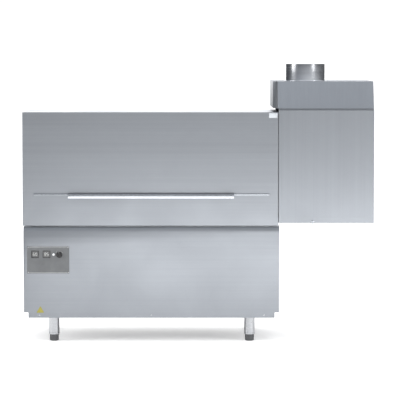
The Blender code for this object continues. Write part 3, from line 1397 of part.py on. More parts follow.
def make_curtains():
    """Vinyl strips on a header, hung in the entry and in the exit."""
    back = HOOD_BACK - SHEET - GAP
    hang = TRACK_HEIGHT + TUNNEL_CLEAR - CURTAIN_HEAD_DROP
    bottom = TRACK_HEIGHT + CURTAIN_RAISE
    low = RACK_CENTRE_Y - RACK_SIZE / 2
    high = RACK_CENTRE_Y + RACK_SIZE / 2
    for name, x, front in (
        ("curtain_entry", LEFT + CURTAIN_INSET, HOOD_FRONT + SHEET + GAP),
        ("curtain_exit", RIGHT - CURTAIN_INSET, DRYER_FRONT + SHEET + GAP),
    ):
        half = CURTAIN_SHEET / 2
        curtain = block(name, (x - half, low, bottom), (x + half, high, hang), CURTAIN)
        pitch = (high - low) / CURTAIN_STRIPS
        for index in range(1, CURTAIN_STRIPS):
            y = low + pitch * index
            cut(curtain, block(f"{name}_slit_{index}", (x - NIP, y - CURTAIN_SLIT / 2, bottom - NIP),
                               (x + NIP, y + CURTAIN_SLIT / 2, hang - CURTAIN_HEADER)))
        join(curtain, rod(name + "_rod", (x, front, hang), (x, back, hang), CURTAIN_ROD_RADIUS))


def fan_box_outline():
    """Plan of the fan box: its front left and rear right corners are cut off."""
    left = JOIN - FAN_BOX_FLAT
    wide = JOIN - FAN_BOX_OVERHANG
    return [
        (left, FAN_BOX_FRONT),
        (RIGHT, FAN_BOX_FRONT),
        (RIGHT, BACK - FAN_BOX_CHAMFER_LENGTH),
        (RIGHT - FAN_BOX_REAR_CHAMFER, BACK),
        (wide, BACK),
        (wide, FAN_BOX_FRONT + FAN_BOX_CHAMFER_LENGTH),
    ]


def make_fan_box():
    """A closed box with a leaning front, an air gate in its floor and the exhaust hole on top."""
    mesh = profile_mesh("fan_box", fan_box_outline(), "Z", FAN_BOX_BOTTOM, FAN_BOX_TOP, closed=True)
    for vertex in mesh.vertices:
        if vertex.co.z > FAN_BOX_BOTTOM + STEP and vertex.co.y < FAN_BOX_FRONT + STEP:
            vertex.co.y += FAN_BOX_LEAN
    box = thicken(add("fan_box", mesh, recentre(mesh), STEEL), SHEET)
    gate_left = JOIN + AIR_GATE_LEFT
    cut(
        box,
        block("air_gate_out", (gate_left, RACK_CENTRE_Y - AIR_GATE_WIDTH / 2, FAN_BOX_BOTTOM - REACH),
              (gate_left + AIR_GATE_LENGTH, RACK_CENTRE_Y + AIR_GATE_WIDTH / 2, FAN_BOX_BOTTOM + REACH)),
        rod("exhaust_hole", (EXHAUST_X, EXHAUST_Y, FAN_BOX_TOP - REACH),
            (EXHAUST_X, EXHAUST_Y, FAN_BOX_TOP + REACH), EXHAUST_RADIUS - SHEET, sides=32),
    )


def make_exhaust():
    inner = EXHAUST_RADIUS - SHEET
    flange = EXHAUST_RADIUS + EXHAUST_FLANGE
    profile = [(inner, 0), (flange, 0), (flange, SHEET), (EXHAUST_RADIUS, SHEET)]
    profile += [(EXHAUST_RADIUS, EXHAUST_HEIGHT), (inner, EXHAUST_HEIGHT)]
    turned("exhaust_collar", profile, (EXHAUST_X, EXHAUST_Y, FAN_BOX_TOP + GAP), AXES["Z"], STEEL,
           sides=40, ring=True)


def make_fan():
    """The exhaust fan's motor on the fan box's floor, and its wheel under the collar."""
    floor = FAN_BOX_BOTTOM + SHEET + GAP
    centre = (EXHAUST_X, EXHAUST_Y, floor)
    profile = [(0, 0), (FAN_MOTOR_RADIUS, 0), (FAN_MOTOR_RADIUS, FAN_MOTOR_HEIGHT - FAN_MOTOR_EDGE),
               (FAN_MOTOR_RADIUS - FAN_MOTOR_EDGE, FAN_MOTOR_HEIGHT), (0, FAN_MOTOR_HEIGHT)]
    turned("fan_motor", profile, centre, AXES["Z"], PAINTED)
    start = floor + FAN_MOTOR_HEIGHT + GAP
    paddle_wheel("fan_wheel", (EXHAUST_X, EXHAUST_Y, start), AXES["Z"], FAN_HUB_RADIUS, FAN_RADIUS,
                 FAN_BLADES, FAN_WIDTH, FAN_BLADE, STEEL)


def build():
    clear_scene()
    for name, (x, y) in leg_places().items():
        make_foot(name, x, y)
        make_leg(name, x, y)
    make_base_frame()
    make_lower_front_panel()
    make_side_panels()
    make_rear_panel()
    make_wash_tank()
    make_drain()
    make_strainer()
    make_wash_hood()
    make_door_skins()
    make_door_handle()
    make_door_guides()
    make_guide_shoes()
    make_balance_reels()
    make_track_rails()
    make_conveyor_bar()
    make_drive()
    make_pump()
    make_supply_pipe()
    make_wash_arm("upper_wash_arm", TRACK_HEIGHT + UPPER_ARM_RISE)
    make_wash_arm("lower_wash_arm", TRACK_HEIGHT - LOWER_ARM_DROP)
    make_rinse_arch()
    make_heaters()
    make_control_panel()
    make_rear_fittings()
    make_dryer_housing()
    make_dryer_cover()
    make_curtains()
    make_fan_box()
    make_exhaust()
    make_fan()


build()
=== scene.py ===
"""Looks of a rack conveyor dishwasher with a drying tunnel: finishes, detail pieces and the studio.

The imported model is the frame. Pieces are placed from its nodes' boxes, in metres, +Z up, with the
operator's side towards -Y. Run as a script it registers the add-on and calls every operator once.
"""

import json
import math
import random

import bmesh
import bpy
from bpy.props import FloatProperty, FloatVectorProperty, IntProperty, PointerProperty
from mathutils import Matrix, Vector


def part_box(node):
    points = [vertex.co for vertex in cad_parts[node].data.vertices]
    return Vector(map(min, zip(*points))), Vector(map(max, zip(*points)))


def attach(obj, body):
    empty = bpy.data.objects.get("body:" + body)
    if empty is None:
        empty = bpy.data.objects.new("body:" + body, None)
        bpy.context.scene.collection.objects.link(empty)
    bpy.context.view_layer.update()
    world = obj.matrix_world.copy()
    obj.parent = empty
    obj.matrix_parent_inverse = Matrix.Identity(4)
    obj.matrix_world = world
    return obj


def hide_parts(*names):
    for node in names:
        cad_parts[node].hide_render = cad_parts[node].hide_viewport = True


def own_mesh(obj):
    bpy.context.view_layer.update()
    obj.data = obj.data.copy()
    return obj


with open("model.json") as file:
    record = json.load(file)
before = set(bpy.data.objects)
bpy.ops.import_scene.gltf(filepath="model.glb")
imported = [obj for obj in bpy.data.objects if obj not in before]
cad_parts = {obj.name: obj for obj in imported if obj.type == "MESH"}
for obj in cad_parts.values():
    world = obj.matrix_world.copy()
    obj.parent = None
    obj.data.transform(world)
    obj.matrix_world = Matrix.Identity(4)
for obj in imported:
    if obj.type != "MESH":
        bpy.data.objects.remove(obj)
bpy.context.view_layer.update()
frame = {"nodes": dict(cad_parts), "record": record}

bl_info = {
    "name": "Rack Conveyor Dishwasher",
    "version": (1, 0, 0),
    "blender": (4, 5, 0),
    "location": "View3D > Sidebar > Dishwasher",
    "description": "Finishes, detail pieces and studio for a rack conveyor dishwasher",
    "category": "Object",
}

X, Y, Z = Vector((1, 0, 0)), Vector((0, 1, 0)), Vector((0, 0, 1))
MERGE = 1e-5  # distance under which two points of a mesh are one
EDGE_ANGLE = math.radians(32)  # sharper edges than this are rounded or shaded sharp
FLAT_ANGLE = math.radians(0.5)  # faces that turn less than this are one flat face
ROUNDING_TRIES = 4
VOLUME_SLACK = 0.02  # share by which rounding may change a piece's volume
PROUD = 0.0002  # a plate's back stands this far into what carries it


# ---------------------------------------------------------------- sizes and colours a user can change

class SteelSettings(bpy.types.PropertyGroup):
    """Colours and finish of the cabinet's steel"""

    cabinet: FloatVectorProperty(
        name="Cabinet", description="Colour of the door and the panels", subtype="COLOR",
        size=3, min=0, max=1, default=(0.32, 0.337, 0.363))
    chamber: FloatVectorProperty(
        name="Chamber", description="Colour of the tank, hood and tunnel inside", subtype="COLOR",
        size=3, min=0, max=1, default=(0.47, 0.49, 0.52))
    tube: FloatVectorProperty(
        name="Tube", description="Colour of legs, arms and pipes", subtype="COLOR",
        size=3, min=0, max=1, default=(0.55, 0.56, 0.58))
    roughness: FloatProperty(
        name="Roughness", description="Mean roughness of the brushed sheet", min=0, max=1, default=0.36)
    grain: FloatProperty(
        name="Grain", description="Depth of the brushing lines", subtype="DISTANCE",
        min=0, default=0.00005)
    edge_radius: FloatProperty(
        name="Fold radius", description="Outer radius of a folded sheet edge", subtype="DISTANCE",
        min=0, default=0.0014)


class DetailSettings(bpy.types.PropertyGroup):
    """Sizes of the small parts that repeat"""

    screw_radius: FloatProperty(
        name="Screw head", description="Radius of a pan head screw", subtype="DISTANCE",
        min=0.001, default=0.0042)
    nozzle_radius: FloatProperty(
        name="Nozzle", description="Radius of a spray nozzle", subtype="DISTANCE",
        min=0.001, default=0.006)
    nozzles: IntProperty(name="Nozzles", description="Nozzles on each wash arm", min=1, default=7)
    rinse_nozzles: IntProperty(
        name="Rinse nozzles", description="Nozzles on each run of the rinse arch", min=1, default=6)
    fan_blades: IntProperty(name="Fan blades", description="Blades of the fan wheel", min=3, default=24)
    motor_ribs: IntProperty(name="Motor ribs", description="Cooling ribs round a motor", min=4, default=28)
    louvres: IntProperty(name="Louvres", description="Louvres in a vent field", min=1, default=9)
    hole_pitch: FloatProperty(
        name="Hole pitch", description="Distance between the strainer's holes", subtype="DISTANCE",
        min=0.004, default=0.012)


class StudioSettings(bpy.types.PropertyGroup):
    """Camera and soft light"""

    distance: FloatProperty(
        name="Camera distance", description="From the door's face to the camera", subtype="DISTANCE",
        min=1, default=15.0)
    camera_side: FloatProperty(
        name="Camera side", description="Camera's place along the machine", subtype="DISTANCE",
        default=0.061)
    camera_height: FloatProperty(
        name="Camera height", description="Camera above the floor", subtype="DISTANCE", default=1.96)
    aim_height: FloatProperty(
        name="Aim", description="Height on the door's plane at the middle of the view",
        subtype="DISTANCE", default=0.894)
    field: FloatProperty(
        name="Field", description="Width seen at the door's plane", subtype="DISTANCE",
        min=0.1, default=2.739)
    floor: FloatVectorProperty(
        name="Floor", description="Colour of the floor", subtype="COLOR", size=3, min=0, max=1,
        default=(0.93, 0.93, 0.93))


def settings():
    """The three groups of settings, as the scene holds them."""
    scene = bpy.context.scene
    return scene.dishwasher_steel, scene.dishwasher_detail, scene.dishwasher_studio


# ---------------------------------------------------------------- meshes

def new_object(name, mesh):
    """A visible object at the origin that holds the mesh."""
    obj = bpy.data.objects.new(name, mesh)
    bpy.context.scene.collection.objects.link(obj)
    return obj


def to_mesh(name, shape):
    """A Blender mesh from a bmesh, with its normals pointing out."""
    bmesh.ops.remove_doubles(shape, verts=shape.verts, dist=MERGE)
    bmesh.ops.recalc_face_normals(shape, faces=shape.faces)
    mesh = bpy.data.meshes.new(name)
    shape.to_mesh(mesh)
    shape.free()
    return mesh


def evaluated_mesh(obj):
    """The object's mesh with its modifiers or its curve's depth, welded. The object is removed."""
    bpy.context.view_layer.update()
    graph = bpy.context.evaluated_depsgraph_get()
    mesh = bpy.data.meshes.new_from_object(obj.evaluated_get(graph))
    mesh.name = obj.name
    bpy.data.objects.remove(obj)
    return mesh


def finish_piece(mesh, material, body, replaced=(), smooth=True):
    """Turns a finished mesh into a piece that rides on its body."""
    if smooth:
        mesh.shade_smooth()
        mesh.set_sharp_from_angle(angle=EDGE_ANGLE)
    mesh.materials.clear()
    mesh.materials.append(finishes[material])
    obj = new_object(mesh.name, mesh)
    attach(obj, body)
    if replaced:
        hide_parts(*replaced)
    return obj


def joined(name, *meshes):
    """One mesh that holds several closed ones."""
    shape = bmesh.new()
    for mesh in meshes:
        shape.from_mesh(mesh)
    mesh = bpy.data.meshes.new(name)
    shape.to_mesh(mesh)
    shape.free()
    return mesh


def turned(name, profile, centre, axis=Z, sides=48):
    """A solid of revolution. The profile lists (radius, height along the axis) from bottom to top."""
    shape = bmesh.new()
    points = [shape.verts.new((radius, 0, height)) for radius, height in profile]
    edges = [shape.edges.new(pair) for pair in zip(points, points[1:])]
    bmesh.ops.spin(shape, geom=points + edges, axis=Z, cent=(0, 0, 0), angle=math.tau, steps=sides)
    place = Matrix.Translation(centre) @ Z.rotation_difference(Vector(axis)).to_matrix().to_4x4()
    bmesh.ops.transform(shape, matrix=place, verts=shape.verts)
    return to_mesh(name, shape)


def arc(centre, radius, start, end, steps=6):
    """Points of a quarter or other part of a round, for a profile."""
    turn = (end - start) / steps
    angles = [math.radians(start + turn * step) for step in range(steps + 1)]
    return [(centre[0] + radius * math.cos(a), centre[1] + radius * math.sin(a)) for a in angles]


def box_mesh(name, low, high, radius=0.0, segments=2):
    """A box between two corners, its edges rounded."""
    low, high = Vector(low), Vector(high)
    shape = bmesh.new()
    bmesh.ops.create_cube(shape, size=1)
    bmesh.ops.scale(shape, vec=high - low, verts=shape.verts)
    bmesh.ops.translate(shape, vec=(low + high) / 2, verts=shape.verts)
    if radius:
        bmesh.ops.bevel(shape, geom=shape.edges, offset=radius, segments=segments, profile=0.5,
                        affect="EDGES", clamp_overlap=True)
    return to_mesh(name, shape)


def tube(name, points, radius, smooth_corners=0.0, sides=5):
    """A round tube or wire through points; a corner's radius is smooth_corners."""
    route = rounded_route([Vector(point) for point in points], smooth_corners)
    curve = bpy.data.curves.new(name, "CURVE")
    curve.dimensions = "3D"
    curve.bevel_depth = radius
    curve.bevel_resolution = sides
    curve.use_fill_caps = True
    spline = curve.splines.new("POLY")
    spline.points.add(len(route) - 1)
    for target, place in zip(spline.points, route):
        target.co = (*place, 1)
    mesh = evaluated_mesh(new_object(name, curve))
    shape = bmesh.new()
    shape.from_mesh(mesh)
    return to_mesh(name, shape)


def rounded_route(points, radius, steps=6):
    """The points with each inner corner replaced by a short arc."""
    if not radius or len(points) < 3:
        return points
    route = [points[0]]
    for before, corner, after in zip(points, points[1:], points[2:]):
        reach = min(radius, (corner - before).length * 0.49, (after - corner).length * 0.49)
        start = corner + (before - corner).normalized() * reach
        end = corner + (after - corner).normalized() * reach
        for step in range(steps + 1):
            share = step / steps
            route.append(start.lerp(corner, share).lerp(corner.lerp(end, share), share))
    return route + [points[-1]]


def rounded(source, radius, segments):
    """A bmesh copy with its flat faces whole again and its sharp edges rounded."""
    shape = source.copy()
    sharp = [edge for edge in shape.edges if edge.is_manifold
             and edge.calc_face_angle(0) > EDGE_ANGLE and edge.calc_length() > 2.5 * radius]
    bmesh.ops.bevel(shape, geom=sharp, offset=radius, segments=segments, profile=0.5,
                    affect="EDGES", clamp_overlap=True, loop_slide=True)
    bmesh.ops.remove_doubles(shape, verts=shape.verts, dist=MERGE)
    return shape


def folded_copy(node, radius, segments=2):
    """A sheet metal node with rounded edges. Where the walls leave no room the radius is halved."""
    whole = bmesh.new()
    whole.from_mesh(frame["nodes"][node].data)
    bmesh.ops.remove_doubles(whole, verts=whole.verts, dist=MERGE)
    bmesh.ops.dissolve_limit(whole, angle_limit=FLAT_ANGLE, verts=whole.verts, edges=whole.edges)
    volume = whole.calc_volume()
    for _ in range(ROUNDING_TRIES):
        shape = rounded(whole, radius, segments)
        closed = all(edge.is_manifold for edge in shape.edges)
        if closed and abs(shape.calc_volume() / volume - 1) < VOLUME_SLACK:
            break
        shape.free()
        shape = whole.copy()
        radius /= 2
    whole.free()
    bmesh.ops.triangulate(shape, faces=[face for face in shape.faces if len(face.verts) > 4])
    return to_mesh("made_" + node, shape)


def body_of(node):
    """The body that a node rides on."""
    return next(name for name, members in frame["record"]["behaviour"]["bodies"].items()
                if node in members)


def refine(node, material, radius, segments=2):
    """Replaces a node with its rounded copy, whose large faces keep an even shading."""
    piece = finish_piece(folded_copy(node, radius, segments), material, body_of(node),
                         (node,))
    shading = piece.modifiers.new("even shading", "WEIGHTED_NORMAL")
    shading.keep_sharp = True
    return piece


# ---------------------------------------------------------------- shader groups shared by the finishes

finishes = {}  # every finished material by its short name


class Wiring:
    """Adds nodes to a tree and links them."""

    def __init__(self, tree):
        self.tree = tree

    def add(self, kind, **values):
        """A node. Keyword names are its properties."""
        node = self.tree.nodes.new(kind)
        for name, value in values.items():
            if hasattr(node, name):
                setattr(node, name, value)
        return node

    def link(self, source, target):
        self.tree.links.new(source, target)

    def feed(self, node, **sources):
        """Links or sets inputs by name; an underscore in a name stands for a space."""
        for name, value in sources.items():
            socket = node.inputs[int(name[1:])] if name[1:].isdigit() else node.inputs[name.replace("_", " ")]
            if isinstance(value, bpy.types.NodeSocket):
                self.link(value, socket)
            else:
                socket.default_value = value
        return node

    def maths(self, operation, first, second=0.5, clamp=False):
        node = self.add("ShaderNodeMath", operation=operation, use_clamp=clamp)
        self.feed(node, i0=first, i1=second)
        return node.outputs[0]

    def weighted(self, value, factor, base):
        """base + value x factor."""
        node = self.add("ShaderNodeMath", operation="MULTIPLY_ADD")
        self.feed(node, i0=value, i1=factor, i2=base)
        return node.outputs[0]

    def spread(self, value, low, high, to_low=0.0, to_high=1.0):
        """Maps low..high to to_low..to_high."""
        node = self.add("ShaderNodeMapRange")
        self.feed(node, Value=value, From_Min=low, From_Max=high, To_Min=to_low, To_Max=to_high)
        return node.outputs["Result"]

    def noise(self, vector, scale, detail=4.0, roughness=0.55):
        node = self.add("ShaderNodeTexNoise")
        self.feed(node, Vector=vector, Scale=scale, Detail=detail, Roughness=roughness)
        return node.outputs["Fac"]

    def mixed(self, factor, first, second):
        """A colour between two colours."""
        node = self.add("ShaderNodeMix", data_type="RGBA")
        self.feed(node, i0=factor, i6=first, i7=second)
        return node.outputs[2]

    def place(self, vector, scale=(1, 1, 1), location=(0, 0, 0)):
        node = self.add("ShaderNodeMapping")
        self.feed(node, Vector=vector, Scale=scale, Location=location)
        return node.outputs["Vector"]


def shader_group(name, inputs, outputs):
    """An empty shader group with its sockets: (wiring, input node, output node)."""
    tree = bpy.data.node_groups.new(name, "ShaderNodeTree")
    kinds = {"vector": "NodeSocketVector", "value": "NodeSocketFloat"}
    for socket, kind, default in inputs:
        made = tree.interface.new_socket(name=socket, in_out="INPUT", socket_type=kinds[kind])
        made.default_value = default
    for socket in outputs:
        tree.interface.new_socket(name=socket, in_out="OUTPUT", socket_type="NodeSocketFloat")
    wiring = Wiring(tree)
    return wiring, wiring.add("NodeGroupInput"), wiring.add("NodeGroupOutput")


def brushed_lines_group():
    """Fine parallel lines of brushed or rolled steel, with broader bands between them."""
    wires, inside, out = shader_group(
        "Brushed Lines",
        [("Vector", "vector", (0, 0, 0)), ("Stretch", "vector", (2, 90, 500))],
        ["Tone", "Height"])
    stretched = wires.add("ShaderNodeVectorMath", operation="MULTIPLY")
    wires.feed(stretched, i0=inside.outputs["Vector"], i1=inside.outputs["Stretch"])
    fine = wires.noise(stretched.outputs[0], 1.0, detail=5.0, roughness=0.7)
    band = wires.noise(stretched.outputs[0], 0.09, detail=3.0)
    tone = wires.weighted(band, 0.45, wires.maths("MULTIPLY", fine, 0.55))
    wires.link(tone, out.inputs["Tone"])
    wires.link(fine, out.inputs["Height"])
    return wires.tree


def smudges_group():
    """Soft cloudy patches, as wiping leaves on steel."""
    wires, inside, out = shader_group(
        "Wiped Smudges", [("Vector", "vector", (0, 0, 0)), ("Size", "value", 4.0)], ["Mask"])
    cloud = wires.add("ShaderNodeTexNoise")
    wires.feed(cloud, Vector=inside.outputs["Vector"], Scale=inside.outputs["Size"],
               Detail=5.0, Roughness=0.6, Distortion=0.8)
    wires.link(wires.spread(cloud.outputs["Fac"], 0.35, 0.72), out.inputs["Mask"])
    return wires.tree


def scratches_group():
    """Sparse thin scratches that run every way."""
    wires, inside, out = shader_group(
        "Fine Scratches", [("Vector", "vector", (0, 0, 0)), ("Density", "value", 9.0)], ["Mask"])
    bent = wires.noise(inside.outputs["Vector"], 3.0, detail=2.0)
    cells = wires.add("ShaderNodeTexVoronoi", feature="DISTANCE_TO_EDGE")
    wires.feed(cells, Vector=inside.outputs["Vector"], Scale=inside.outputs["Density"])
    thin = wires.spread(cells.outputs["Distance"], 0.0, 0.006, 1.0, 0.0)
    wires.link(wires.maths("MULTIPLY", thin, wires.spread(bent, 0.55, 0.65)), out.inputs["Mask"])
    return wires.tree


def runs_group():
    """Vertical water marks and scale, heavier in some places."""
    wires, inside, out = shader_group(
        "Water Runs", [("Vector", "vector", (0, 0, 0)), ("Width", "value", 60.0)], ["Mask"])
    narrow = wires.place(inside.outputs["Vector"], scale=(1, 1, 0.05))
    runs = wires.add("ShaderNodeTexNoise")
    wires.feed(runs, Vector=narrow, Scale=inside.outputs["Width"], Detail=3.0)
    patches = wires.spread(wires.noise(inside.outputs["Vector"], 5.0), 0.45, 0.7)
    marks = wires.spread(runs.outputs["Fac"], 0.52, 0.75)
    wires.link(wires.maths("MULTIPLY", marks, patches), out.inputs["Mask"])
    return wires.tree


def edge_wear_group():
    """A mask along rounded edges, broken up by noise."""
    wires, inside, out = shader_group(
        "Edge Wear", [("Vector", "vector", (0, 0, 0)), ("Width", "value", 0.0015)], ["Mask"])
    rounded = wires.add("ShaderNodeBevel", samples=4)
    wires.link(inside.outputs["Width"], rounded.inputs["Radius"])
    surface = wires.add("ShaderNodeNewGeometry")
    facing = wires.add("ShaderNodeVectorMath", operation="DOT_PRODUCT")
    wires.feed(facing, i0=rounded.outputs[0], i1=surface.outputs["Normal"])
    edge = wires.spread(facing.outputs["Value"], 0.80, 0.985, 1.0, 0.0)
    broken = wires.spread(wires.noise(inside.outputs["Vector"], 120.0), 0.35, 0.6)
    wires.link(wires.maths("MULTIPLY", edge, broken), out.inputs["Mask"])
    return wires.tree


def speckle_group():
    """Grainy surface of castings, moulded plastic and paint."""
    wires, inside, out = shader_group(
        "Speckle", [("Vector", "vector", (0, 0, 0)), ("Size", "value", 900.0)], ["Tone", "Height"])
    grain = wires.add("ShaderNodeTexNoise")
    wires.feed(grain, Vector=inside.outputs["Vector"], Scale=inside.outputs["Size"], Detail=3.0)
    broad = wires.noise(inside.outputs["Vector"], 14.0)
    tone = wires.weighted(broad, 0.6, wires.maths("MULTIPLY", grain.outputs["Fac"], 0.4))
    wires.link(tone, out.inputs["Tone"])
    wires.link(grain.outputs["Fac"], out.inputs["Height"])
    return wires.tree


# ---------------------------------------------------------------- finishes

def new_finish(name):
    """A material with its Principled shader: (wiring, shader, object coordinates)."""
    material = bpy.data.materials.new(name)
    material.use_nodes = True
    wires = Wiring(material.node_tree)
    shader = material.node_tree.nodes["Principled BSDF"]
    finishes[name] = material
    return wires, shader, wires.add("ShaderNodeTexCoord").outputs["Object"]


def effect(wires, name, vector, **values):
    """One of the shared groups, placed in a material with its own values."""
    node = wires.add("ShaderNodeGroup", node_tree=bpy.data.node_groups[name])
    return wires.feed(node, Vector=vector, **values).outputs


def bump(wires, shader, height, distance, strength=1.0):
    """Relief of the given depth in metres."""
    node = wires.add("ShaderNodeBump")
    wires.feed(node, Height=height, Distance=distance, Strength=strength)
    wires.link(node.outputs["Normal"], shader.inputs["Normal"])


def shade(colour, factor):
    """The colour made lighter or darker, with full alpha."""
    return (*[min(1.0, part * factor) for part in colour], 1.0)


def brushed_steel(name, colour, roughness, stretch, grain, runs=0.0, contrast=0.07, smudge_size=2.5):
    """Brushed sheet: lines in one direction, wiped patches, a few scratches and some water runs."""
    wires, shader, place = new_finish(name)
    lines = effect(wires, "Brushed Lines", place, Stretch=stretch)
    smudges = effect(wires, "Wiped Smudges", place, Size=smudge_size)["Mask"]
    scratches = effect(wires, "Fine Scratches", place)["Mask"]
    steel = wires.mixed(wires.spread(lines["Tone"], 0.3, 0.7),
                        shade(colour, 1 - contrast), shade(colour, 1 + contrast))
    wiped = wires.mixed(wires.maths("MULTIPLY", smudges, 0.35), steel, shade(colour, 0.90))
    if runs:
        marks = effect(wires, "Water Runs", place)["Mask"]
        wiped = wires.mixed(wires.maths("MULTIPLY", marks, runs), wiped, shade((0.78, 0.77, 0.73), 1.0))
    wires.link(wiped, shader.inputs["Base Color"])
    rough = wires.spread(lines["Tone"], 0.2, 0.8, roughness - 0.06, roughness + 0.08)
    rough = wires.weighted(smudges, 0.07, rough)
    wires.link(wires.weighted(scratches, 0.15, rough), shader.inputs["Roughness"])
    shader.inputs["Metallic"].default_value = 1.0
    shader.inputs["IOR"].default_value = 2.5
    bump(wires, shader, wires.maths("SUBTRACT", lines["Height"], scratches), grain)
    return finishes[name]


def cast_finish(name, colour, metallic, roughness, relief, worn=None, size=700.0):
    """Sand-cast, painted or moulded surfaces: speckle, dust in the broad patches and worn edges."""
    wires, shader, place = new_finish(name)
    speckle = effect(wires, "Speckle", place, Size=size)
    smudges = effect(wires, "Wiped Smudges", place, Size=9.0)["Mask"]
    colours = wires.mixed(wires.spread(speckle["Tone"], 0.35, 0.65), shade(colour, 0.86), shade(colour, 1.14))
    if worn:
        edges = effect(wires, "Edge Wear", place)["Mask"]
        colours = wires.mixed(wires.maths("MULTIPLY", edges, 0.8), colours, shade(worn, 1.0))
    wires.link(colours, shader.inputs["Base Color"])
    wires.link(wires.spread(smudges, 0.0, 1.0, roughness - 0.05, roughness + 0.12),
               shader.inputs["Roughness"])
    shader.inputs["Metallic"].default_value = metallic
    bump(wires, shader, speckle["Height"], relief)
    return finishes[name]


def heated_steel(name):
    """Element sheath: straw and blue heat tints along the tube, over dark steel."""
    wires, shader, place = new_finish(name)
    tint = wires.spread(wires.noise(place, 18.0), 0.35, 0.65)
    speckle = effect(wires, "Speckle", place, Size=1100.0)
    sheath = wires.mixed(tint, (0.20, 0.15, 0.10, 1), (0.13, 0.14, 0.19, 1))
    scale = wires.mixed(wires.spread(speckle["Tone"], 0.5, 0.62), sheath, (0.42, 0.40, 0.37, 1))
    wires.link(scale, shader.inputs["Base Color"])
    wires.link(wires.spread(speckle["Tone"], 0.3, 0.7, 0.35, 0.6), shader.inputs["Roughness"])
    shader.inputs["Metallic"].default_value = 0.9
    bump(wires, shader, speckle["Height"], 0.00004)
    return finishes[name]


def curtain_vinyl(name):
    """Grey flexible strips: soft waves, a slight bloom and fold lines."""
    wires, shader, place = new_finish(name)
    waves = wires.noise(wires.place(place, scale=(6, 6, 1.2)), 3.0)
    bloom = effect(wires, "Wiped Smudges", place, Size=12.0)["Mask"]
    vinyl = wires.mixed(wires.maths("MULTIPLY", bloom, 0.5), (0.20, 0.24, 0.26, 1), (0.34, 0.38, 0.40, 1))
    wires.link(vinyl, shader.inputs["Base Color"])
    wires.link(wires.spread(bloom, 0.0, 1.0, 0.26, 0.46), shader.inputs["Roughness"])
    shader.inputs["Specular IOR Level"].default_value = 0.6
    bump(wires, shader, waves, 0.004)
    return finishes[name]


def dark_glass(name, colour, gloss):
    """Smoked window or a lens: nearly smooth, with finger marks in its gloss."""
    wires, shader, place = new_finish(name)
    marks = effect(wires, "Wiped Smudges", place, Size=45.0)["Mask"]
    wires.link(wires.mixed(marks, shade(colour, 0.8), shade(colour, 1.25)), shader.inputs["Base Color"])
    wires.link(wires.spread(marks, 0.0, 1.0, gloss, gloss + 0.15), shader.inputs["Roughness"])
    shader.inputs["Coat Weight"].default_value = 0.6
    shader.inputs["Coat Roughness"].default_value = 0.05
    return finishes[name]


def make_finishes():
    """All shared groups and materials."""
    for make in (brushed_lines_group, smudges_group, scratches_group, runs_group, edge_wear_group,
                 speckle_group):
        make()
    steel = settings()[0]
    cabinet, chamber, tube_steel = tuple(steel.cabinet), tuple(steel.chamber), tuple(steel.tube)
    rough, grain = steel.roughness, steel.grain
    across, upright, turned_lines = (1.5, 60, 420), (420, 60, 1.5), (30, 30, 700)
    brushed_steel("door steel", cabinet, rough, across, grain)
    brushed_steel("panel steel", shade(cabinet, 1.03)[:3], rough + 0.03, across, grain)
    brushed_steel("dryer steel", shade(cabinet, 1.02)[:3], rough + 0.02, upright, grain)
    brushed_steel("chamber steel", chamber, rough - 0.04, across, grain, runs=0.35, contrast=0.10)
    brushed_steel("polished trim", shade(cabinet, 1.35)[:3], 0.16, across, grain / 2, contrast=0.04)
    brushed_steel("leg steel", tube_steel, 0.20, turned_lines, grain / 2, smudge_size=14)
    brushed_steel("pipe steel", tube_steel, 0.26, (40, 40, 260), grain / 2, runs=0.2, smudge_size=10)
    brushed_steel("duct steel", shade(tube_steel, 1.30)[:3], 0.16, (9, 9, 500), grain / 2, smudge_size=5)
    brushed_steel("screw steel", (0.62, 0.62, 0.63), 0.22, (600, 600, 600), grain, smudge_size=300)
    heated_steel("heated steel")
    cast_finish("cast metal", (0.40, 0.41, 0.42), 0.85, 0.5, 0.0004, worn=(0.62, 0.62, 0.62), size=420)
    cast_finish("motor enamel", (0.06, 0.12, 0.20), 0.0, 0.38, 0.00012, worn=(0.35, 0.36, 0.37))
    cast_finish("brass", (0.62, 0.43, 0.18), 1.0, 0.28, 0.00003, worn=(0.85, 0.66, 0.34))
    cast_finish("control overlay", (0.115, 0.12, 0.125), 0.0, 0.46, 0.00004, size=2600)
    cast_finish("black moulding", (0.016, 0.016, 0.017), 0.0, 0.42, 0.00006, worn=(0.06, 0.06, 0.06))
    cast_finish("foot moulding", (0.07, 0.072, 0.076), 0.0, 0.5, 0.00012, worn=(0.16, 0.16, 0.16))
    cast_finish("nylon", (0.66, 0.65, 0.60), 0.0, 0.48, 0.00005, worn=(0.8, 0.79, 0.75))
    cast_finish("seal rubber", (0.035, 0.036, 0.038), 0.0, 0.62, 0.0001)
    cast_finish("pale marking", (0.82, 0.83, 0.84), 0.0, 0.4, 0.00002, size=2600)
    cast_finish("dull olive plate", (0.30, 0.27, 0.05), 0.0, 0.45, 0.00003, size=2600)
    cast_finish("pale plate", (0.50, 0.53, 0.56), 0.0, 0.3, 0.00003, size=2600)
    curtain_vinyl("curtain vinyl")
    dark_glass("display window", (0.018, 0.02, 0.022), 0.08)
    dark_glass("lamp lens", (0.86, 0.87, 0.86), 0.12)
    dark_glass("display figures", (0.55, 0.56, 0.55), 0.2)


# ---------------------------------------------------------------- geometry node trees for what repeats

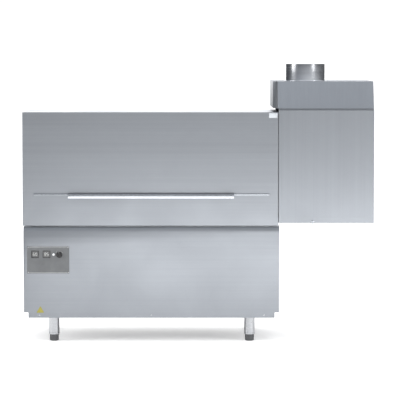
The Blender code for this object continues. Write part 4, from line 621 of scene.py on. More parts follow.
def geometry_tree(name, inputs):
    """A tree with a points input and named sizes: (wiring, input node, function that ends the tree)."""
    tree = bpy.data.node_groups.new(name, "GeometryNodeTree")
    tree.interface.new_socket(name="Geometry", in_out="INPUT", socket_type="NodeSocketGeometry")
    kinds = {float: "NodeSocketFloat", int: "NodeSocketInt"}
    for socket, default in inputs.items():
        made = tree.interface.new_socket(name=socket, in_out="INPUT", socket_type=kinds[type(default)])
        made.default_value = default
    tree.interface.new_socket(name="Material", in_out="INPUT", socket_type="NodeSocketMaterial")
    tree.interface.new_socket(name="Geometry", in_out="OUTPUT", socket_type="NodeSocketGeometry")
    wires = Wiring(tree)
    inside, out = wires.add("NodeGroupInput"), wires.add("NodeGroupOutput")

    def end(geometry):
        whole = wires.add("GeometryNodeRealizeInstances")
        wires.link(geometry, whole.inputs["Geometry"])
        painted = wires.add("GeometryNodeSetMaterial")
        wires.feed(painted, Geometry=whole.outputs[0], Material=inside.outputs["Material"])
        wires.link(painted.outputs[0], out.inputs["Geometry"])

    return wires, inside, end


def solid(wires, kind, move=None, turn=None, scale=None, **sizes):
    """A primitive of the given size, moved, turned and stretched into its place in a template."""
    node = wires.feed(wires.add(kind), **sizes)
    if move is None and turn is None and scale is None:
        return node.outputs["Mesh"]
    placed = wires.add("GeometryNodeTransform")
    wires.link(node.outputs["Mesh"], placed.inputs["Geometry"])
    if move is not None:
        wires.feed(placed, Translation=move)
    if turn is not None:
        wires.feed(placed, Rotation=turn)
    if scale is not None:
        wires.feed(placed, Scale=scale)
    return placed.outputs[0]


def vector(wires, x=0.0, y=0.0, z=0.0):
    node = wires.add("ShaderNodeCombineXYZ")
    wires.feed(node, X=x, Y=y, Z=z)
    return node.outputs[0]


def without(wires, body, *cutters):
    """The body with the cutters taken out."""
    node = wires.add("GeometryNodeMeshBoolean", operation="DIFFERENCE", solver="EXACT")
    wires.link(body, node.inputs["Mesh 1"])
    for cutter in cutters:
        wires.link(cutter, node.inputs["Mesh 2"])
    return node.outputs["Mesh"]


def together(wires, *parts):
    node = wires.add("GeometryNodeJoinGeometry")
    for part in parts:
        wires.link(part, node.inputs[0])
    return node.outputs[0]


def copies(wires, points, template, facing=None, axis="Z"):
    """The template on every point, its axis along the points' facing."""
    node = wires.add("GeometryNodeInstanceOnPoints")
    wires.feed(node, Points=points, Instance=template)
    if facing is not None:
        aligned = wires.add("FunctionNodeAlignRotationToVector", axis=axis)
        wires.link(facing, aligned.inputs["Vector"])
        wires.link(aligned.outputs[0], node.inputs["Rotation"])
    return node.outputs[0]


def stored_facing(wires):
    """The direction that each point carries."""
    node = wires.add("GeometryNodeInputNamedAttribute", data_type="FLOAT_VECTOR")
    node.inputs["Name"].default_value = "facing"
    return node.outputs["Attribute"]


def screw_tree():
    """Pan head screws with a cross recess, one on each point."""
    wires, inside, end = geometry_tree("Pan Head Screws", {"Radius": 0.004})
    radius = inside.outputs["Radius"]
    dome = solid(wires, "GeometryNodeMeshUVSphere", Segments=20, Rings=10, Radius=radius,
                 scale=(1, 1, 0.55))
    width, length = wires.maths("MULTIPLY", radius, 0.28), wires.maths("MULTIPLY", radius, 1.15)
    depth = wires.maths("MULTIPLY", radius, 0.7)
    lift = vector(wires, z=wires.maths("MULTIPLY", radius, 0.62))
    slots = [solid(wires, "GeometryNodeMeshCube", move=lift, Size=vector(wires, *size))
             for size in ((width, length, depth), (length, width, depth))]
    head = without(wires, dome, *slots)
    end(copies(wires, inside.outputs["Geometry"], head, stored_facing(wires)))
    return wires.tree


def nozzle_tree():
    """Spray nozzles: a hexagon base, a cone and a slot across the tip."""
    wires, inside, end = geometry_tree("Spray Nozzles", {"Radius": 0.006})
    radius = inside.outputs["Radius"]
    short = wires.maths("MULTIPLY", radius, 0.6)
    base = solid(wires, "GeometryNodeMeshCylinder", Vertices=6, Radius=radius, Depth=short)
    cone = solid(wires, "GeometryNodeMeshCone", Vertices=20, Depth=radius,
                 Radius_Top=wires.maths("MULTIPLY", radius, 0.45),
                 Radius_Bottom=wires.maths("MULTIPLY", radius, 0.8),
                 move=vector(wires, z=wires.maths("MULTIPLY", radius, 0.2)))
    slot = solid(wires, "GeometryNodeMeshCube",
                 Size=vector(wires, wires.maths("MULTIPLY", radius, 2),
                             wires.maths("MULTIPLY", radius, 0.2), short),
                 move=vector(wires, z=wires.maths("MULTIPLY", radius, 1.3)))
    nozzle = without(wires, together(wires, base, cone), slot)
    end(copies(wires, inside.outputs["Geometry"], nozzle, stored_facing(wires)))
    return wires.tree


def rib_tree():
    """Upright ribs round an axis, their length along Z."""
    wires, inside, end = geometry_tree(
        "Ribs Round An Axis",
        {"Count": 24, "Radius": 0.07, "Depth": 0.008, "Thickness": 0.003, "Length": 0.1, "Lean": 0.0})
    ring = wires.add("GeometryNodeMeshCircle")
    wires.feed(ring, Vertices=inside.outputs["Count"], Radius=inside.outputs["Radius"])
    size = vector(wires, inside.outputs["Depth"], inside.outputs["Thickness"], inside.outputs["Length"])
    rib = solid(wires, "GeometryNodeMeshCube", Size=size, turn=vector(wires, z=inside.outputs["Lean"]))
    place = wires.add("GeometryNodeInputPosition").outputs[0]
    end(copies(wires, ring.outputs["Mesh"], rib, place, "X"))
    return wires.tree


def louvre_tree():
    """A row of pressed louvres, open below, standing out towards -Y."""
    wires, inside, end = geometry_tree("Pressed Louvres", {"Length": 0.16, "Depth": 0.007})
    depth, length = inside.outputs["Depth"], inside.outputs["Length"]
    bar = solid(wires, "GeometryNodeMeshCylinder", Vertices=24, Radius=depth, Depth=length,
                turn=(0, math.pi / 2, 0))
    thin = wires.maths("SUBTRACT", depth, 0.0012)
    hollow = solid(wires, "GeometryNodeMeshCylinder", Vertices=24, Radius=thin,
                   Depth=wires.maths("SUBTRACT", length, 0.003), turn=(0, math.pi / 2, 0))
    wide = wires.maths("MULTIPLY", length, 1.2)
    double = wires.maths("MULTIPLY", depth, 2.2)
    below = solid(wires, "GeometryNodeMeshCube", Size=vector(wires, wide, double, depth),
                  move=vector(wires, z=wires.maths("MULTIPLY", depth, -0.75)))
    behind = solid(wires, "GeometryNodeMeshCube", Size=vector(wires, wide, double, double),
                   move=vector(wires, y=wires.maths("MULTIPLY", depth, 1.15)))
    louvre = without(wires, bar, hollow, below, behind)
    end(copies(wires, inside.outputs["Geometry"], louvre))
    return wires.tree


def fin_tree():
    """Thin round fins at an even pitch along the edges of a path."""
    wires, inside, end = geometry_tree("Fins Along A Path", {"Radius": 0.014, "Pitch": 0.012})
    path = wires.add("GeometryNodeMeshToCurve")
    wires.link(inside.outputs["Geometry"], path.inputs["Mesh"])
    spots = wires.add("GeometryNodeCurveToPoints", mode="LENGTH")
    wires.feed(spots, Curve=path.outputs[0], Length=inside.outputs["Pitch"])
    disc = solid(wires, "GeometryNodeMeshCylinder", Vertices=18, Radius=inside.outputs["Radius"],
                 Depth=0.0008)
    end(copies(wires, spots.outputs["Points"], disc, spots.outputs["Tangent"]))
    return wires.tree


def perforation_tree():
    """A sheet with a field of round holes."""
    wires, inside, end = geometry_tree(
        "Perforated Sheet",
        {"Width": 0.4, "Depth": 0.4, "Thickness": 0.0015, "Columns": 30, "Rows": 30, "Hole": 0.003})
    sheet = solid(wires, "GeometryNodeMeshCube",
                  Size=vector(wires, inside.outputs["Width"], inside.outputs["Depth"],
                              inside.outputs["Thickness"]))
    field = wires.add("GeometryNodeMeshGrid")
    margin = 0.94
    wires.feed(field, Size_X=wires.maths("MULTIPLY", inside.outputs["Width"], margin),
               Size_Y=wires.maths("MULTIPLY", inside.outputs["Depth"], margin),
               Vertices_X=inside.outputs["Columns"], Vertices_Y=inside.outputs["Rows"])
    punch = solid(wires, "GeometryNodeMeshCylinder", Vertices=8, Radius=inside.outputs["Hole"], Depth=0.01)
    punches = wires.add("GeometryNodeRealizeInstances")
    wires.link(copies(wires, field.outputs["Mesh"], punch), punches.inputs[0])
    end(without(wires, sheet, punches.outputs[0]))
    return wires.tree


def pattern(name, tree, material, sizes, points=None):
    """A plain mesh that the tree makes. Points are (place, facing) pairs."""
    shape = bmesh.new()
    facing = shape.verts.layers.float_vector.new("facing")
    for place, direction in points or []:
        shape.verts.new(place)[facing] = direction
    mesh = bpy.data.meshes.new(name)
    shape.to_mesh(mesh)
    shape.free()
    return grown(name, tree, material, sizes, mesh)


def grown(name, tree, material, sizes, mesh):
    """The mesh after the tree, as a plain mesh without the modifier."""
    obj = new_object(name, mesh)
    modifier = obj.modifiers.new("pattern", "NODES")
    modifier.node_group = bpy.data.node_groups[tree]
    for item in modifier.node_group.interface.items_tree:
        if item.item_type == "SOCKET" and item.in_out == "INPUT" and item.name in sizes:
            modifier[item.identifier] = sizes[item.name]
        if item.name == "Material":
            modifier[item.identifier] = finishes[material]
    made = evaluated_mesh(obj)
    if not made.polygons:
        raise RuntimeError(f"{tree} made nothing for {name}")
    shape = bmesh.new()
    shape.from_mesh(made)
    return to_mesh(name, shape)


def screws(name, body, places, facing, radius=None):
    """Screw heads of one body, each with its centre just under the surface it sits on."""
    size = radius or settings()[1].screw_radius
    mesh = pattern(name, "Pan Head Screws", "screw steel", {"Radius": size},
                   [(place, facing) for place in places])
    return finish_piece(mesh, "screw steel", body)


class DISHWASHER_OT_patterns(bpy.types.Operator):
    """Builds the node trees for screws, nozzles, ribs, louvres, fins and perforations"""

    bl_idname = "dishwasher.patterns"
    bl_label = "Patterns"

    def execute(self, context):
        for make in (screw_tree, nozzle_tree, rib_tree, louvre_tree, fin_tree, perforation_tree):
            make()
        return {"FINISHED"}


# ---------------------------------------------------------------- finishes of the carried-over nodes

NODE_FINISH = {
    "door_steel": "door steel", "panel_steel": "panel steel", "dryer_steel": "dryer steel",
    "chamber_steel": "chamber steel", "leg_steel": "leg steel", "pipe_steel": "pipe steel",
    "dark_steel": "heated steel", "cast_metal": "cast metal", "motor_paint": "motor enamel",
    "control_grey": "control overlay", "display_black": "display window", "lamp_white": "lamp lens",
    "knob_black": "black moulding", "nylon": "nylon", "curtain_vinyl": "curtain vinyl",
    "foot_plastic": "foot moulding", "brass": "brass", "gland_black": "black moulding",
}


class DISHWASHER_OT_finishes(bpy.types.Operator):
    """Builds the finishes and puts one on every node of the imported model"""

    bl_idname = "dishwasher.finishes"
    bl_label = "Finishes"

    def execute(self, context):
        make_finishes()
        for part in frame["record"]["subparts"]:
            materials = frame["nodes"][part["node"]].data.materials
            materials.clear()
            materials.append(finishes[NODE_FINISH[part["material_slot"]]])
        return {"FINISHED"}


# ---------------------------------------------------------------- legs and feet

LEG_SIDES = 64
LEGS = ("front_left", "front_right", "rear_left", "rear_right")


def leg_mesh(name, low, high):
    """A polished tube leg: rolled lower rim, straight tube and a welded flange with a fillet."""
    centre = Vector(((low.x + high.x) / 2, (low.y + high.y) / 2, 0))
    flange = (high.x - low.x) / 2
    tube_radius = flange * 0.76
    rim, fillet, plate = 0.004, 0.005, 0.004
    top = high.z
    profile = [(0, low.z + 0.002), (tube_radius - 2 * rim, low.z + 0.002), (tube_radius - 2 * rim, low.z)]
    profile += arc((tube_radius - rim, low.z + rim), rim, 270, 360)
    profile += [(tube_radius, low.z + 0.012), (tube_radius - 0.0006, low.z + 0.0128),
                (tube_radius, low.z + 0.0136)]
    profile += [(tube_radius, top - plate - fillet)]
    profile += [(tube_radius + fillet - x, z) for x, z in
                arc((0, top - plate - fillet), fillet, 0, 90)][1:-1]
    profile += [(tube_radius + fillet, top - plate)]
    profile += arc((flange - 0.001, top - plate + 0.001), 0.001, 270, 360, 3)
    profile += [(flange, top), (0, top)]
    return turned(name, profile, centre, Z, LEG_SIDES)


def foot_mesh(name, low, high):
    """A moulded bullet foot with grip grooves, a wear pad and its threaded stem."""
    centre = Vector(((low.x + high.x) / 2, (low.y + high.y) / 2, 0))
    radius = (high.x - low.x) / 2
    body_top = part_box("leg_front_left")[0].z - 0.0006
    profile = [(0, low.z), (radius * 0.72, low.z)]
    profile += arc((radius - 0.009, 0.009), 0.009, -70, 0)
    for groove in (0.45, 0.60, 0.75):
        level = body_top * groove
        profile += [(radius, level - 0.0015), (radius - 0.0012, level - 0.0006),
                    (radius - 0.0012, level + 0.0006), (radius, level + 0.0015)]
    profile += arc((radius - 0.003, body_top - 0.003), 0.003, 0, 90, 4)
    stem = 0.0095
    profile += [(stem, body_top), (stem, body_top + 0.001)]
    turns = 24
    start, end = body_top + 0.001, high.z - 0.002
    for turn in range(turns):
        level = start + (end - start) * (turn + 0.5) / turns
        half_pitch = (end - start) / turns / 2
        profile += [(stem - 0.0009, level), (stem, level + half_pitch)]
    profile += [(stem - 0.0015, high.z), (0, high.z)]
    return turned(name, profile, centre, Z, LEG_SIDES)


class DISHWASHER_OT_stand(bpy.types.Operator):
    """Turned legs, adjustable feet and the welded base frame"""

    bl_idname = "dishwasher.stand"
    bl_label = "Stand"

    def execute(self, context):
        for place in LEGS:
            leg, foot = "leg_" + place, "foot_" + place
            finish_piece(leg_mesh("turned_" + leg, *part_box(leg)), "leg steel", body_of(leg),
                         (leg,))
            finish_piece(foot_mesh("moulded_" + foot, *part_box(foot)), "foot moulding", body_of(foot),
                         (foot,))
        refine("base_frame", "panel steel", 0.0012)
        return {"FINISHED"}


# ---------------------------------------------------------------- cabinet, hood and door sheet metal

PANELS = {
    "lower_front_panel": "panel steel", "left_side_panel": "panel steel",
    "right_side_panel": "panel steel", "rear_panel": "panel steel",
    "wash_hood": "chamber steel", "wash_tank": "chamber steel", "control_box": "panel steel",
}
GRIP_INSET_LEFT = 0.231  # rail's left end to the finger lip
GRIP_INSET_RIGHT = 0.234
DOOR_SHEETS = {"door_outer_skin": "door steel", "door_inner_skin": "chamber steel"}
GUIDES = ("door_guide_left", "door_guide_right")
SHOES = ("guide_shoe_left", "guide_shoe_right")


class DISHWASHER_OT_cabinet(bpy.types.Operator):
    """Folded panels, hood and tank with rounded folds"""

    bl_idname = "dishwasher.cabinet"
    bl_label = "Cabinet"

    def execute(self, context):
        fold = settings()[0].edge_radius
        for node, material in PANELS.items():
            refine(node, material, fold)
        return {"FINISHED"}


def handle_mesh():
    """The door's pull: a long flat rail, a folded lip for the fingers along its middle and end caps."""
    low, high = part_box("door_handle")
    lip_low = low.z
    rail_front = high.y - 0.0105
    grip_left = low.x + GRIP_INSET_LEFT
    grip_right = high.x - GRIP_INSET_RIGHT
    rail = box_mesh("rail", (low.x, rail_front, high.z - 0.0035), (high.x, high.y, high.z), 0.0012, 3)
    back = box_mesh("back", (low.x, high.y - 0.0022, high.z - 0.010), (high.x, high.y, high.z - 0.002),
                    0.0008)
    section = [(high.y - 0.002, high.z), (low.y + 0.004, high.z)]
    section += [(low.y + 0.004 - 0.004 * math.sin(math.radians(a)),
                 high.z - 0.004 + 0.004 * math.cos(math.radians(a)))
                for a in (22, 45, 68, 90)]
    section += [(low.y, lip_low + 0.003), (low.y + 0.0006, lip_low + 0.0006), (low.y + 0.0022, lip_low),
                (low.y + 0.0036, lip_low + 0.0008), (low.y + 0.004, lip_low + 0.003)]
    section += [(low.y + 0.0036, high.z - 0.0052), (low.y + 0.0056, high.z - 0.0034),
                (high.y - 0.002, high.z - 0.0034)]
    grip = extruded("grip", section, grip_left, grip_right)
    caps = [box_mesh("cap", (x - 0.0016, low.y + 0.0008, lip_low + 0.004), (x + 0.0016, high.y, high.z),
                     0.0007)
            for x in (grip_left + 0.0012, grip_right - 0.0012)]
    return joined("formed_door_handle", rail, back, grip, *caps)


def extruded(name, outline, start, end):
    """A bar along X whose section is an outline of (y, z) points."""
    shape = bmesh.new()
    near = [shape.verts.new((start, y, z)) for y, z in outline]
    far = [shape.verts.new((end, y, z)) for y, z in outline]
    for index in range(len(outline)):
        after = (index + 1) % len(outline)
        shape.faces.new((near[index], near[after], far[after], far[index]))
    for ring in (near, far):
        cap = shape.faces.new(ring)
        bmesh.ops.triangulate(shape, faces=[cap])
    return to_mesh(name, shape)


def door_trim():
    """Bright top hem and the rubber seal along the bottom of the door's back."""
    low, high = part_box("door_outer_skin")
    hem = box_mesh("door_top_hem", (low.x + 0.003, low.y + 0.004, high.z - 0.0032),
                   (high.x - 0.003, low.y + 0.0075, high.z - 0.0002), 0.0006)
    finish_piece(hem, "polished trim", "door")
    mouth_low, mouth_high = Vector((-1.0825, 0, 0.828)), Vector((0.4525, 0, 1.4217))
    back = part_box("door_inner_skin")[1].y
    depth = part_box("wash_hood")[0].y - back
    seal = [(mouth_low.x - 0.008, back + 0.003, mouth_low.z - 0.014),
            (mouth_high.x + 0.008, back + 0.003, mouth_low.z - 0.014)]
    wiper = tube("door_bottom_seal", seal, min(0.0035, depth / 4))
    finish_piece(wiper, "seal rubber", "door")


class DISHWASHER_OT_door(bpy.types.Operator):
    """Lift-up door: skins with rounded folds, pull handle, hem and seal"""

    bl_idname = "dishwasher.door"
    bl_label = "Door"

    def execute(self, context):
        fold = settings()[0].edge_radius
        for node, material in DOOR_SHEETS.items():
            refine(node, material, fold)
        finish_piece(handle_mesh(), "polished trim", "door", ("door_handle",))
        door_trim()
        return {"FINISHED"}


# ---------------------------------------------------------------- door guides and spring balance

STRIP_WIDTH = 0.012
STRIP_THICKNESS = 0.0006
REELS = {"balance_reel_left": "guide_shoe_left", "balance_reel_right": "guide_shoe_right"}


def reel_mesh(node):
    """A flanged drum with rounded flanges, a pin head and wound strip between the flanges."""
    low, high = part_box(node)
    centre = Vector(((low.x + high.x) / 2, high.y, (low.z + high.z) / 2))
    radius, width = (high.x - low.x) / 2, high.y - low.y
    hub = radius - 0.0016
    profile = [(0, 0), (0.005, 0), (0.005, 0.004), (radius - 0.001, 0.004)]
    profile += arc((radius - 0.001, 0.00525), 0.00125, -90, 90, 6)[1:]
    turns = 6
    for turn in range(turns):
        level = 0.0066 + (width - 0.0132) * turn / (turns - 1)
        profile += [(hub, level), (hub - 0.0004, level + 0.0004)]
    profile += arc((radius - 0.001, width - 0.00125), 0.00125, -90, 90, 6)
    profile += [(0.016, width), (0.0155, width - 0.0012), (0.009, width - 0.0012), (0.0085, width),
                (0, width)]
    return turned("wound_" + node, profile, centre, -Y, 56)


def balance_strip(node, shoe):
    """The thin spring strip from the reel's side down to the shoe's lug."""
    low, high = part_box(node)
    left = node.endswith("left")
    radius = (high.x - low.x) / 2 - 0.0015
    axis_x = (low.x + high.x) / 2
    tangent = axis_x - radius if left else axis_x + radius
    shoe_low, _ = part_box(shoe)
    lug_top = shoe_low.z + 0.049
    middle = (low.y + high.y) / 2
    outward = -STRIP_THICKNESS if left else STRIP_THICKNESS
    side_a, side_b = sorted((tangent, tangent + outward))
    mesh = box_mesh("strip_of_" + node, (side_a, middle - STRIP_WIDTH / 2, lug_top),
                    (side_b, middle + STRIP_WIDTH / 2, (low.z + high.z) / 2), 0.0002, 1)
    strip = finish_piece(mesh, "polished trim", "machine")
    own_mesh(strip)


class DISHWASHER_OT_balance(bpy.types.Operator):
    """Door guides, sliding shoes, spring reels and their strips"""

    bl_idname = "dishwasher.balance"
    bl_label = "Guides and balance"

    def execute(self, context):
        for node in GUIDES:
            refine(node, "panel steel", 0.0006)
        for node in SHOES:
            refine(node, "nylon", 0.0008)
        for node, shoe in REELS.items():
            finish_piece(reel_mesh(node), "pipe steel", body_of(node), (node,))
            balance_strip(node, shoe)
        return {"FINISHED"}


# ---------------------------------------------------------------- tank, pump, arms and rinse

SMOOTH_NODES = {
    "supply_pipe": "pipe steel", "standpipe": "pipe steel", "drain_outlet": "pipe steel",
    "upper_wash_arm": "pipe steel", "lower_wash_arm": "pipe steel", "wash_pump": "cast metal",
    "tank_heater": "heated steel", "pump_impeller": "brass", "drive_crank": "chamber steel",
}
ARM_PLACES = (-0.85, -0.60, -0.35)  # wash arms along the machine
NOZZLE_SINK = 0.001
NOZZLE_INSET = 0.003
ARM_FIRST = 0.05  # first nozzle from the arms' front end
ARM_LAST = 0.52
RINSE_FIRST = 0.06
RINSE_LAST = 0.14  # last rinse nozzle from the arch's rear end
RINSE_NOZZLE = 0.7  # share of a wash nozzle's size
HOLE_RADIUS = 0.0032
HOLE_FIELD = 0.94  # share of the tray that is perforated
STRAINER_RIM = 0.030
STRAINER_SHEET = 0.0012
STRAINER_WALL = 0.0015
GRIP_WIRE = 0.0028
GRIP_HALF = 0.050
GRIP_BEND = 0.014


def arm_nozzles(name, node, facing, detail):
    """Nozzles along each arm of one spray bank, on the side that faces the racks."""
    low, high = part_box(node)
    level = high.z - NOZZLE_SINK if facing.z > 0 else low.z + NOZZLE_SINK
    level -= facing.z * NOZZLE_INSET
    front, back = low.y + ARM_FIRST, low.y + ARM_LAST
    step = (back - front) / max(1, detail.nozzles - 1)
    points = [(Vector((x, front + step * index, level)), facing)
              for x in ARM_PLACES for index in range(detail.nozzles)]
    mesh = pattern(name, "Spray Nozzles", "brass", {"Radius": detail.nozzle_radius}, points)
    return finish_piece(mesh, "brass", "machine")


def rinse_nozzles(detail):
    """Finer nozzles under the arch's top run and over its bottom run."""
    low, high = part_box("rinse_arch")
    centre = (low.x + high.x) / 2
    radius = (high.x - low.x) / 2
    front, back = low.y + RINSE_FIRST, high.y - RINSE_LAST
    step = (back - front) / max(1, detail.rinse_nozzles - 1)
    points = []
    for level, facing in ((high.z - 2 * radius, -Z), (low.z + 2 * radius, Z)):
        points += [(Vector((centre, front + step * index, level)), facing)
                   for index in range(detail.rinse_nozzles)]
    mesh = pattern("rinse_nozzles", "Spray Nozzles", "brass",
                   {"Radius": detail.nozzle_radius * RINSE_NOZZLE}, points)
    return finish_piece(mesh, "brass", "machine")


def strainer_mesh(detail):
    """A perforated tray with a folded rim and a bent wire grip."""
    low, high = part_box("strainer_tray")
    width, depth = high.x - low.x, high.y - low.y
    floor_level = low.z + 0.0010
    rim_top = low.z + STRAINER_RIM
    columns, rows = int(width * HOLE_FIELD / detail.hole_pitch), int(depth * HOLE_FIELD / detail.hole_pitch)
    sheet = pattern("sheet", "Perforated Sheet", "chamber steel", {
        "Width": width - 2 * STRAINER_WALL, "Depth": depth - 2 * STRAINER_WALL, "Thickness": STRAINER_SHEET,
        "Columns": columns, "Rows": rows, "Hole": HOLE_RADIUS})
    sheet.transform(Matrix.Translation(((low.x + high.x) / 2, (low.y + high.y) / 2, floor_level)))
    wall = STRAINER_WALL
    walls = [
        box_mesh("wall", (low.x, low.y, low.z), (high.x, low.y + wall, rim_top), 0.0005),
        box_mesh("wall", (low.x, high.y - wall, low.z), (high.x, high.y, rim_top), 0.0005),
        box_mesh("wall", (low.x, low.y + wall, low.z), (low.x + wall, high.y - wall, rim_top), 0.0005),
        box_mesh("wall", (high.x - wall, low.y + wall, low.z), (high.x, high.y - wall, rim_top), 0.0005),
    ]
    middle = (low + high) / 2
    wire = GRIP_WIRE
    foot = floor_level + wire
    grip = tube("grip", [(middle.x - GRIP_HALF, middle.y, foot),
                         (middle.x - GRIP_HALF, middle.y, high.z - wire),
                         (middle.x + GRIP_HALF, middle.y, high.z - wire),
                         (middle.x + GRIP_HALF, middle.y, foot)],
                wire, GRIP_BEND, 5)
    return joined("perforated_strainer", sheet, *walls, grip)


def motor_mesh(name, start, end, radius, ribs):
    """A ribbed motor body between two points, with end shields and a ringed fan cover."""
    run = Vector(end) - Vector(start)
    length = run.length
    core = radius * 0.90
    profile = [(0, 0), (radius * 0.80, 0), (radius * 0.95, 0.006), (radius, 0.010), (radius, 0.020),
               (core, 0.022)]
    profile += [(core, length - 0.045), (radius, length - 0.043), (radius, length - 0.008)]
    profile += arc((radius - 0.008, length - 0.008), 0.008, 0, 90, 5)
    for ring in (0.70, 0.55, 0.40):
        profile += [(radius * ring + 0.003, length), (radius * ring + 0.002, length - 0.003),
                    (radius * ring - 0.002, length - 0.003), (radius * ring - 0.003, length)]
    profile += [(0, length)]
    body = turned(name, profile, start, run, 56)
    fins = grown("ribs", "Ribs Round An Axis", "motor enamel", {
        "Count": ribs, "Radius": core + 0.002, "Depth": radius - core + 0.003, "Thickness": 0.0028,
        "Length": length - 0.069, "Lean": 0.0}, bpy.data.meshes.new("ribs"))
    middle = Vector(start) + run * (0.022 + length - 0.045) / 2 / length
    fins.transform(Matrix.Translation(middle) @ Z.rotation_difference(run).to_matrix().to_4x4())
    return joined(name, body, fins)


def pump_motor_mesh(detail):
    """Pump motor on its foot plate."""
    low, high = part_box("pump_motor")
    axis_y, axis_z = (low.y + high.y) / 2, high.z - (high.y - low.y) / 2
    radius = (high.y - low.y) / 2
    start, end = (low.x + 0.0005, axis_y, axis_z), (high.x, axis_y, axis_z)
    body = motor_mesh("ribbed_pump_motor", start, end, radius - 0.0005, detail.motor_ribs)
    foot_x = low.x + 0.132
    foot = box_mesh("foot", (foot_x - 0.028, axis_y - 0.066, low.z),
                    (foot_x + 0.028, axis_y + 0.066, low.z + 0.010), 0.002)
    webs = [box_mesh("web", (foot_x - 0.024, axis_y + side - 0.004, low.z + 0.008),
                     (foot_x + 0.024, axis_y + side + 0.004, axis_z - 0.03), 0.001)
                     for side in (-0.052, 0.052)]
    return joined("ribbed_pump_motor", body, foot, *webs)


def gear_motor_mesh(detail):
    """Worm gearbox with a flanged output, on an upright ribbed motor and a folded pedestal."""
    low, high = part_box("gear_motor")
    crank_low, crank_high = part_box("drive_crank")
    centre_x, centre_y = crank_low.x + 0.018, (crank_low.y + crank_high.y) / 2
    box_low, pedestal_top = high.z - 0.075, low.z + 0.080
    half = (high.x - low.x) / 2
    box = box_mesh("gearbox", (centre_x - half, centre_y - 0.055, box_low),
                   (centre_x + half, centre_y + 0.055, high.z - 0.006), 0.010, 4)
    flange = turned("flange", [(0, -0.012), (0.046, -0.012), (0.046, -0.001), (0.045, 0), (0.020, 0),
                               (0.019, -0.001), (0, -0.001)],
                    (centre_x, centre_y, high.z), Z, 48)
    body = motor_mesh("motor", (centre_x, centre_y, box_low + 0.008),
                      (centre_x, centre_y, pedestal_top - 0.002), 0.049, detail.motor_ribs)
    plate = box_mesh("plate", (low.x + 0.025, low.y, pedestal_top - 0.003),
                     (high.x - 0.025, high.y, pedestal_top), 0.001)
    legs = [box_mesh("leg", (low.x + 0.025, y, low.z), (high.x - 0.025, y + 0.003, pedestal_top), 0.001)
            for y in (low.y, high.y - 0.003)]
    sole = box_mesh("sole", (low.x + 0.025, low.y, low.z), (high.x - 0.025, low.y + 0.05, low.z + 0.003),
                    0.001)
    return joined("ribbed_gear_motor", box, flange, body, plate, *legs, sole)


def booster_mesh():
    """Booster tank: a domed shell with three raised weld bands."""
    low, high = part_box("booster_heater")
    centre = Vector(((low.x + high.x) / 2, (low.y + high.y) / 2, low.z))
    radius, height = (high.x - low.x) / 2, high.z - low.z
    dome = 0.030
    profile = [(0, 0), (radius - 0.012, 0)] + arc((radius - 0.012, 0.012), 0.012, -90, 0, 5)[1:]
    for level in (0.055, height * 0.5, height - dome - 0.045):
        profile += [(radius - 0.0008, level - 0.006), (radius, level - 0.004), (radius, level + 0.004),
                    (radius - 0.0008, level + 0.006)]
    profile += [(radius - 0.0008, height - dome)]
    steps = 10
    profile += [((radius - 0.0008) * math.cos(math.radians(90 * step / steps)) if step < steps else 0.013,
                 height - dome + dome * math.sin(math.radians(90 * step / steps)))
                 for step in range(1, steps + 1)]
    profile += [(0.013, height - 0.004), (0, height - 0.004)]
    profile = [(r, z) for r, z in profile if not (r < 0.013 and 0 < z < height - 0.0041)]
    return turned("domed_booster", profile, centre, Z, 64)


class DISHWASHER_OT_water(bpy.types.Operator):
    """Pump, motor, booster, pipes, spray arms, rinse arch and strainer"""

    bl_idname = "dishwasher.water"
    bl_label = "Water system"

    def execute(self, context):
        detail = settings()[1]
        for node, material in SMOOTH_NODES.items():
            refine(node, material, 0.0006)
        arm_nozzles("upper_nozzles", "upper_wash_arm", -Z, detail)
        arm_nozzles("lower_nozzles", "lower_wash_arm", Z, detail)
        refine("rinse_arch", "pipe steel", 0)
        rinse_nozzles(detail)
        finish_piece(strainer_mesh(detail), "chamber steel", "strainer",
                     ("strainer_tray",))
        finish_piece(pump_motor_mesh(detail), "motor enamel", "machine",
                     ("pump_motor",))
        finish_piece(booster_mesh(), "pipe steel", "machine", ("booster_heater",))
        return {"FINISHED"}


# ---------------------------------------------------------------- rack path and drive

class DISHWASHER_OT_drive(bpy.types.Operator):
    """Track rails, reciprocating bar and gear motor"""

    bl_idname = "dishwasher.drive"
    bl_label = "Rack drive"

    def execute(self, context):
        detail = settings()[1]
        for node in ("front_track_rail", "rear_track_rail", "conveyor_bar"):
            refine(node, "chamber steel", 0.0008)
        finish_piece(gear_motor_mesh(detail), "motor enamel", "machine",
                     ("gear_motor",))
        return {"FINISHED"}


# ---------------------------------------------------------------- drying tunnel, fan box and exhaust

CURTAIN_STRIPS = 6
CURTAIN_HEADER = 0.046
HEADER_HALF = 0.0035
STRIP_SHARE = 0.985  # a strip's width over its pitch
STRIP_CROWN = 0.0012
STRIP_WALL = 0.002
CURTAIN_WIDTH = 0.500
CURTAIN_BACK = 0.1807  # rod's rear end to the last strip
HEATER_RUNS = 5
HEATER_BACK = 0.33
LATCH_RIM = 0.0016
STRIP_WAVE = 0.0022


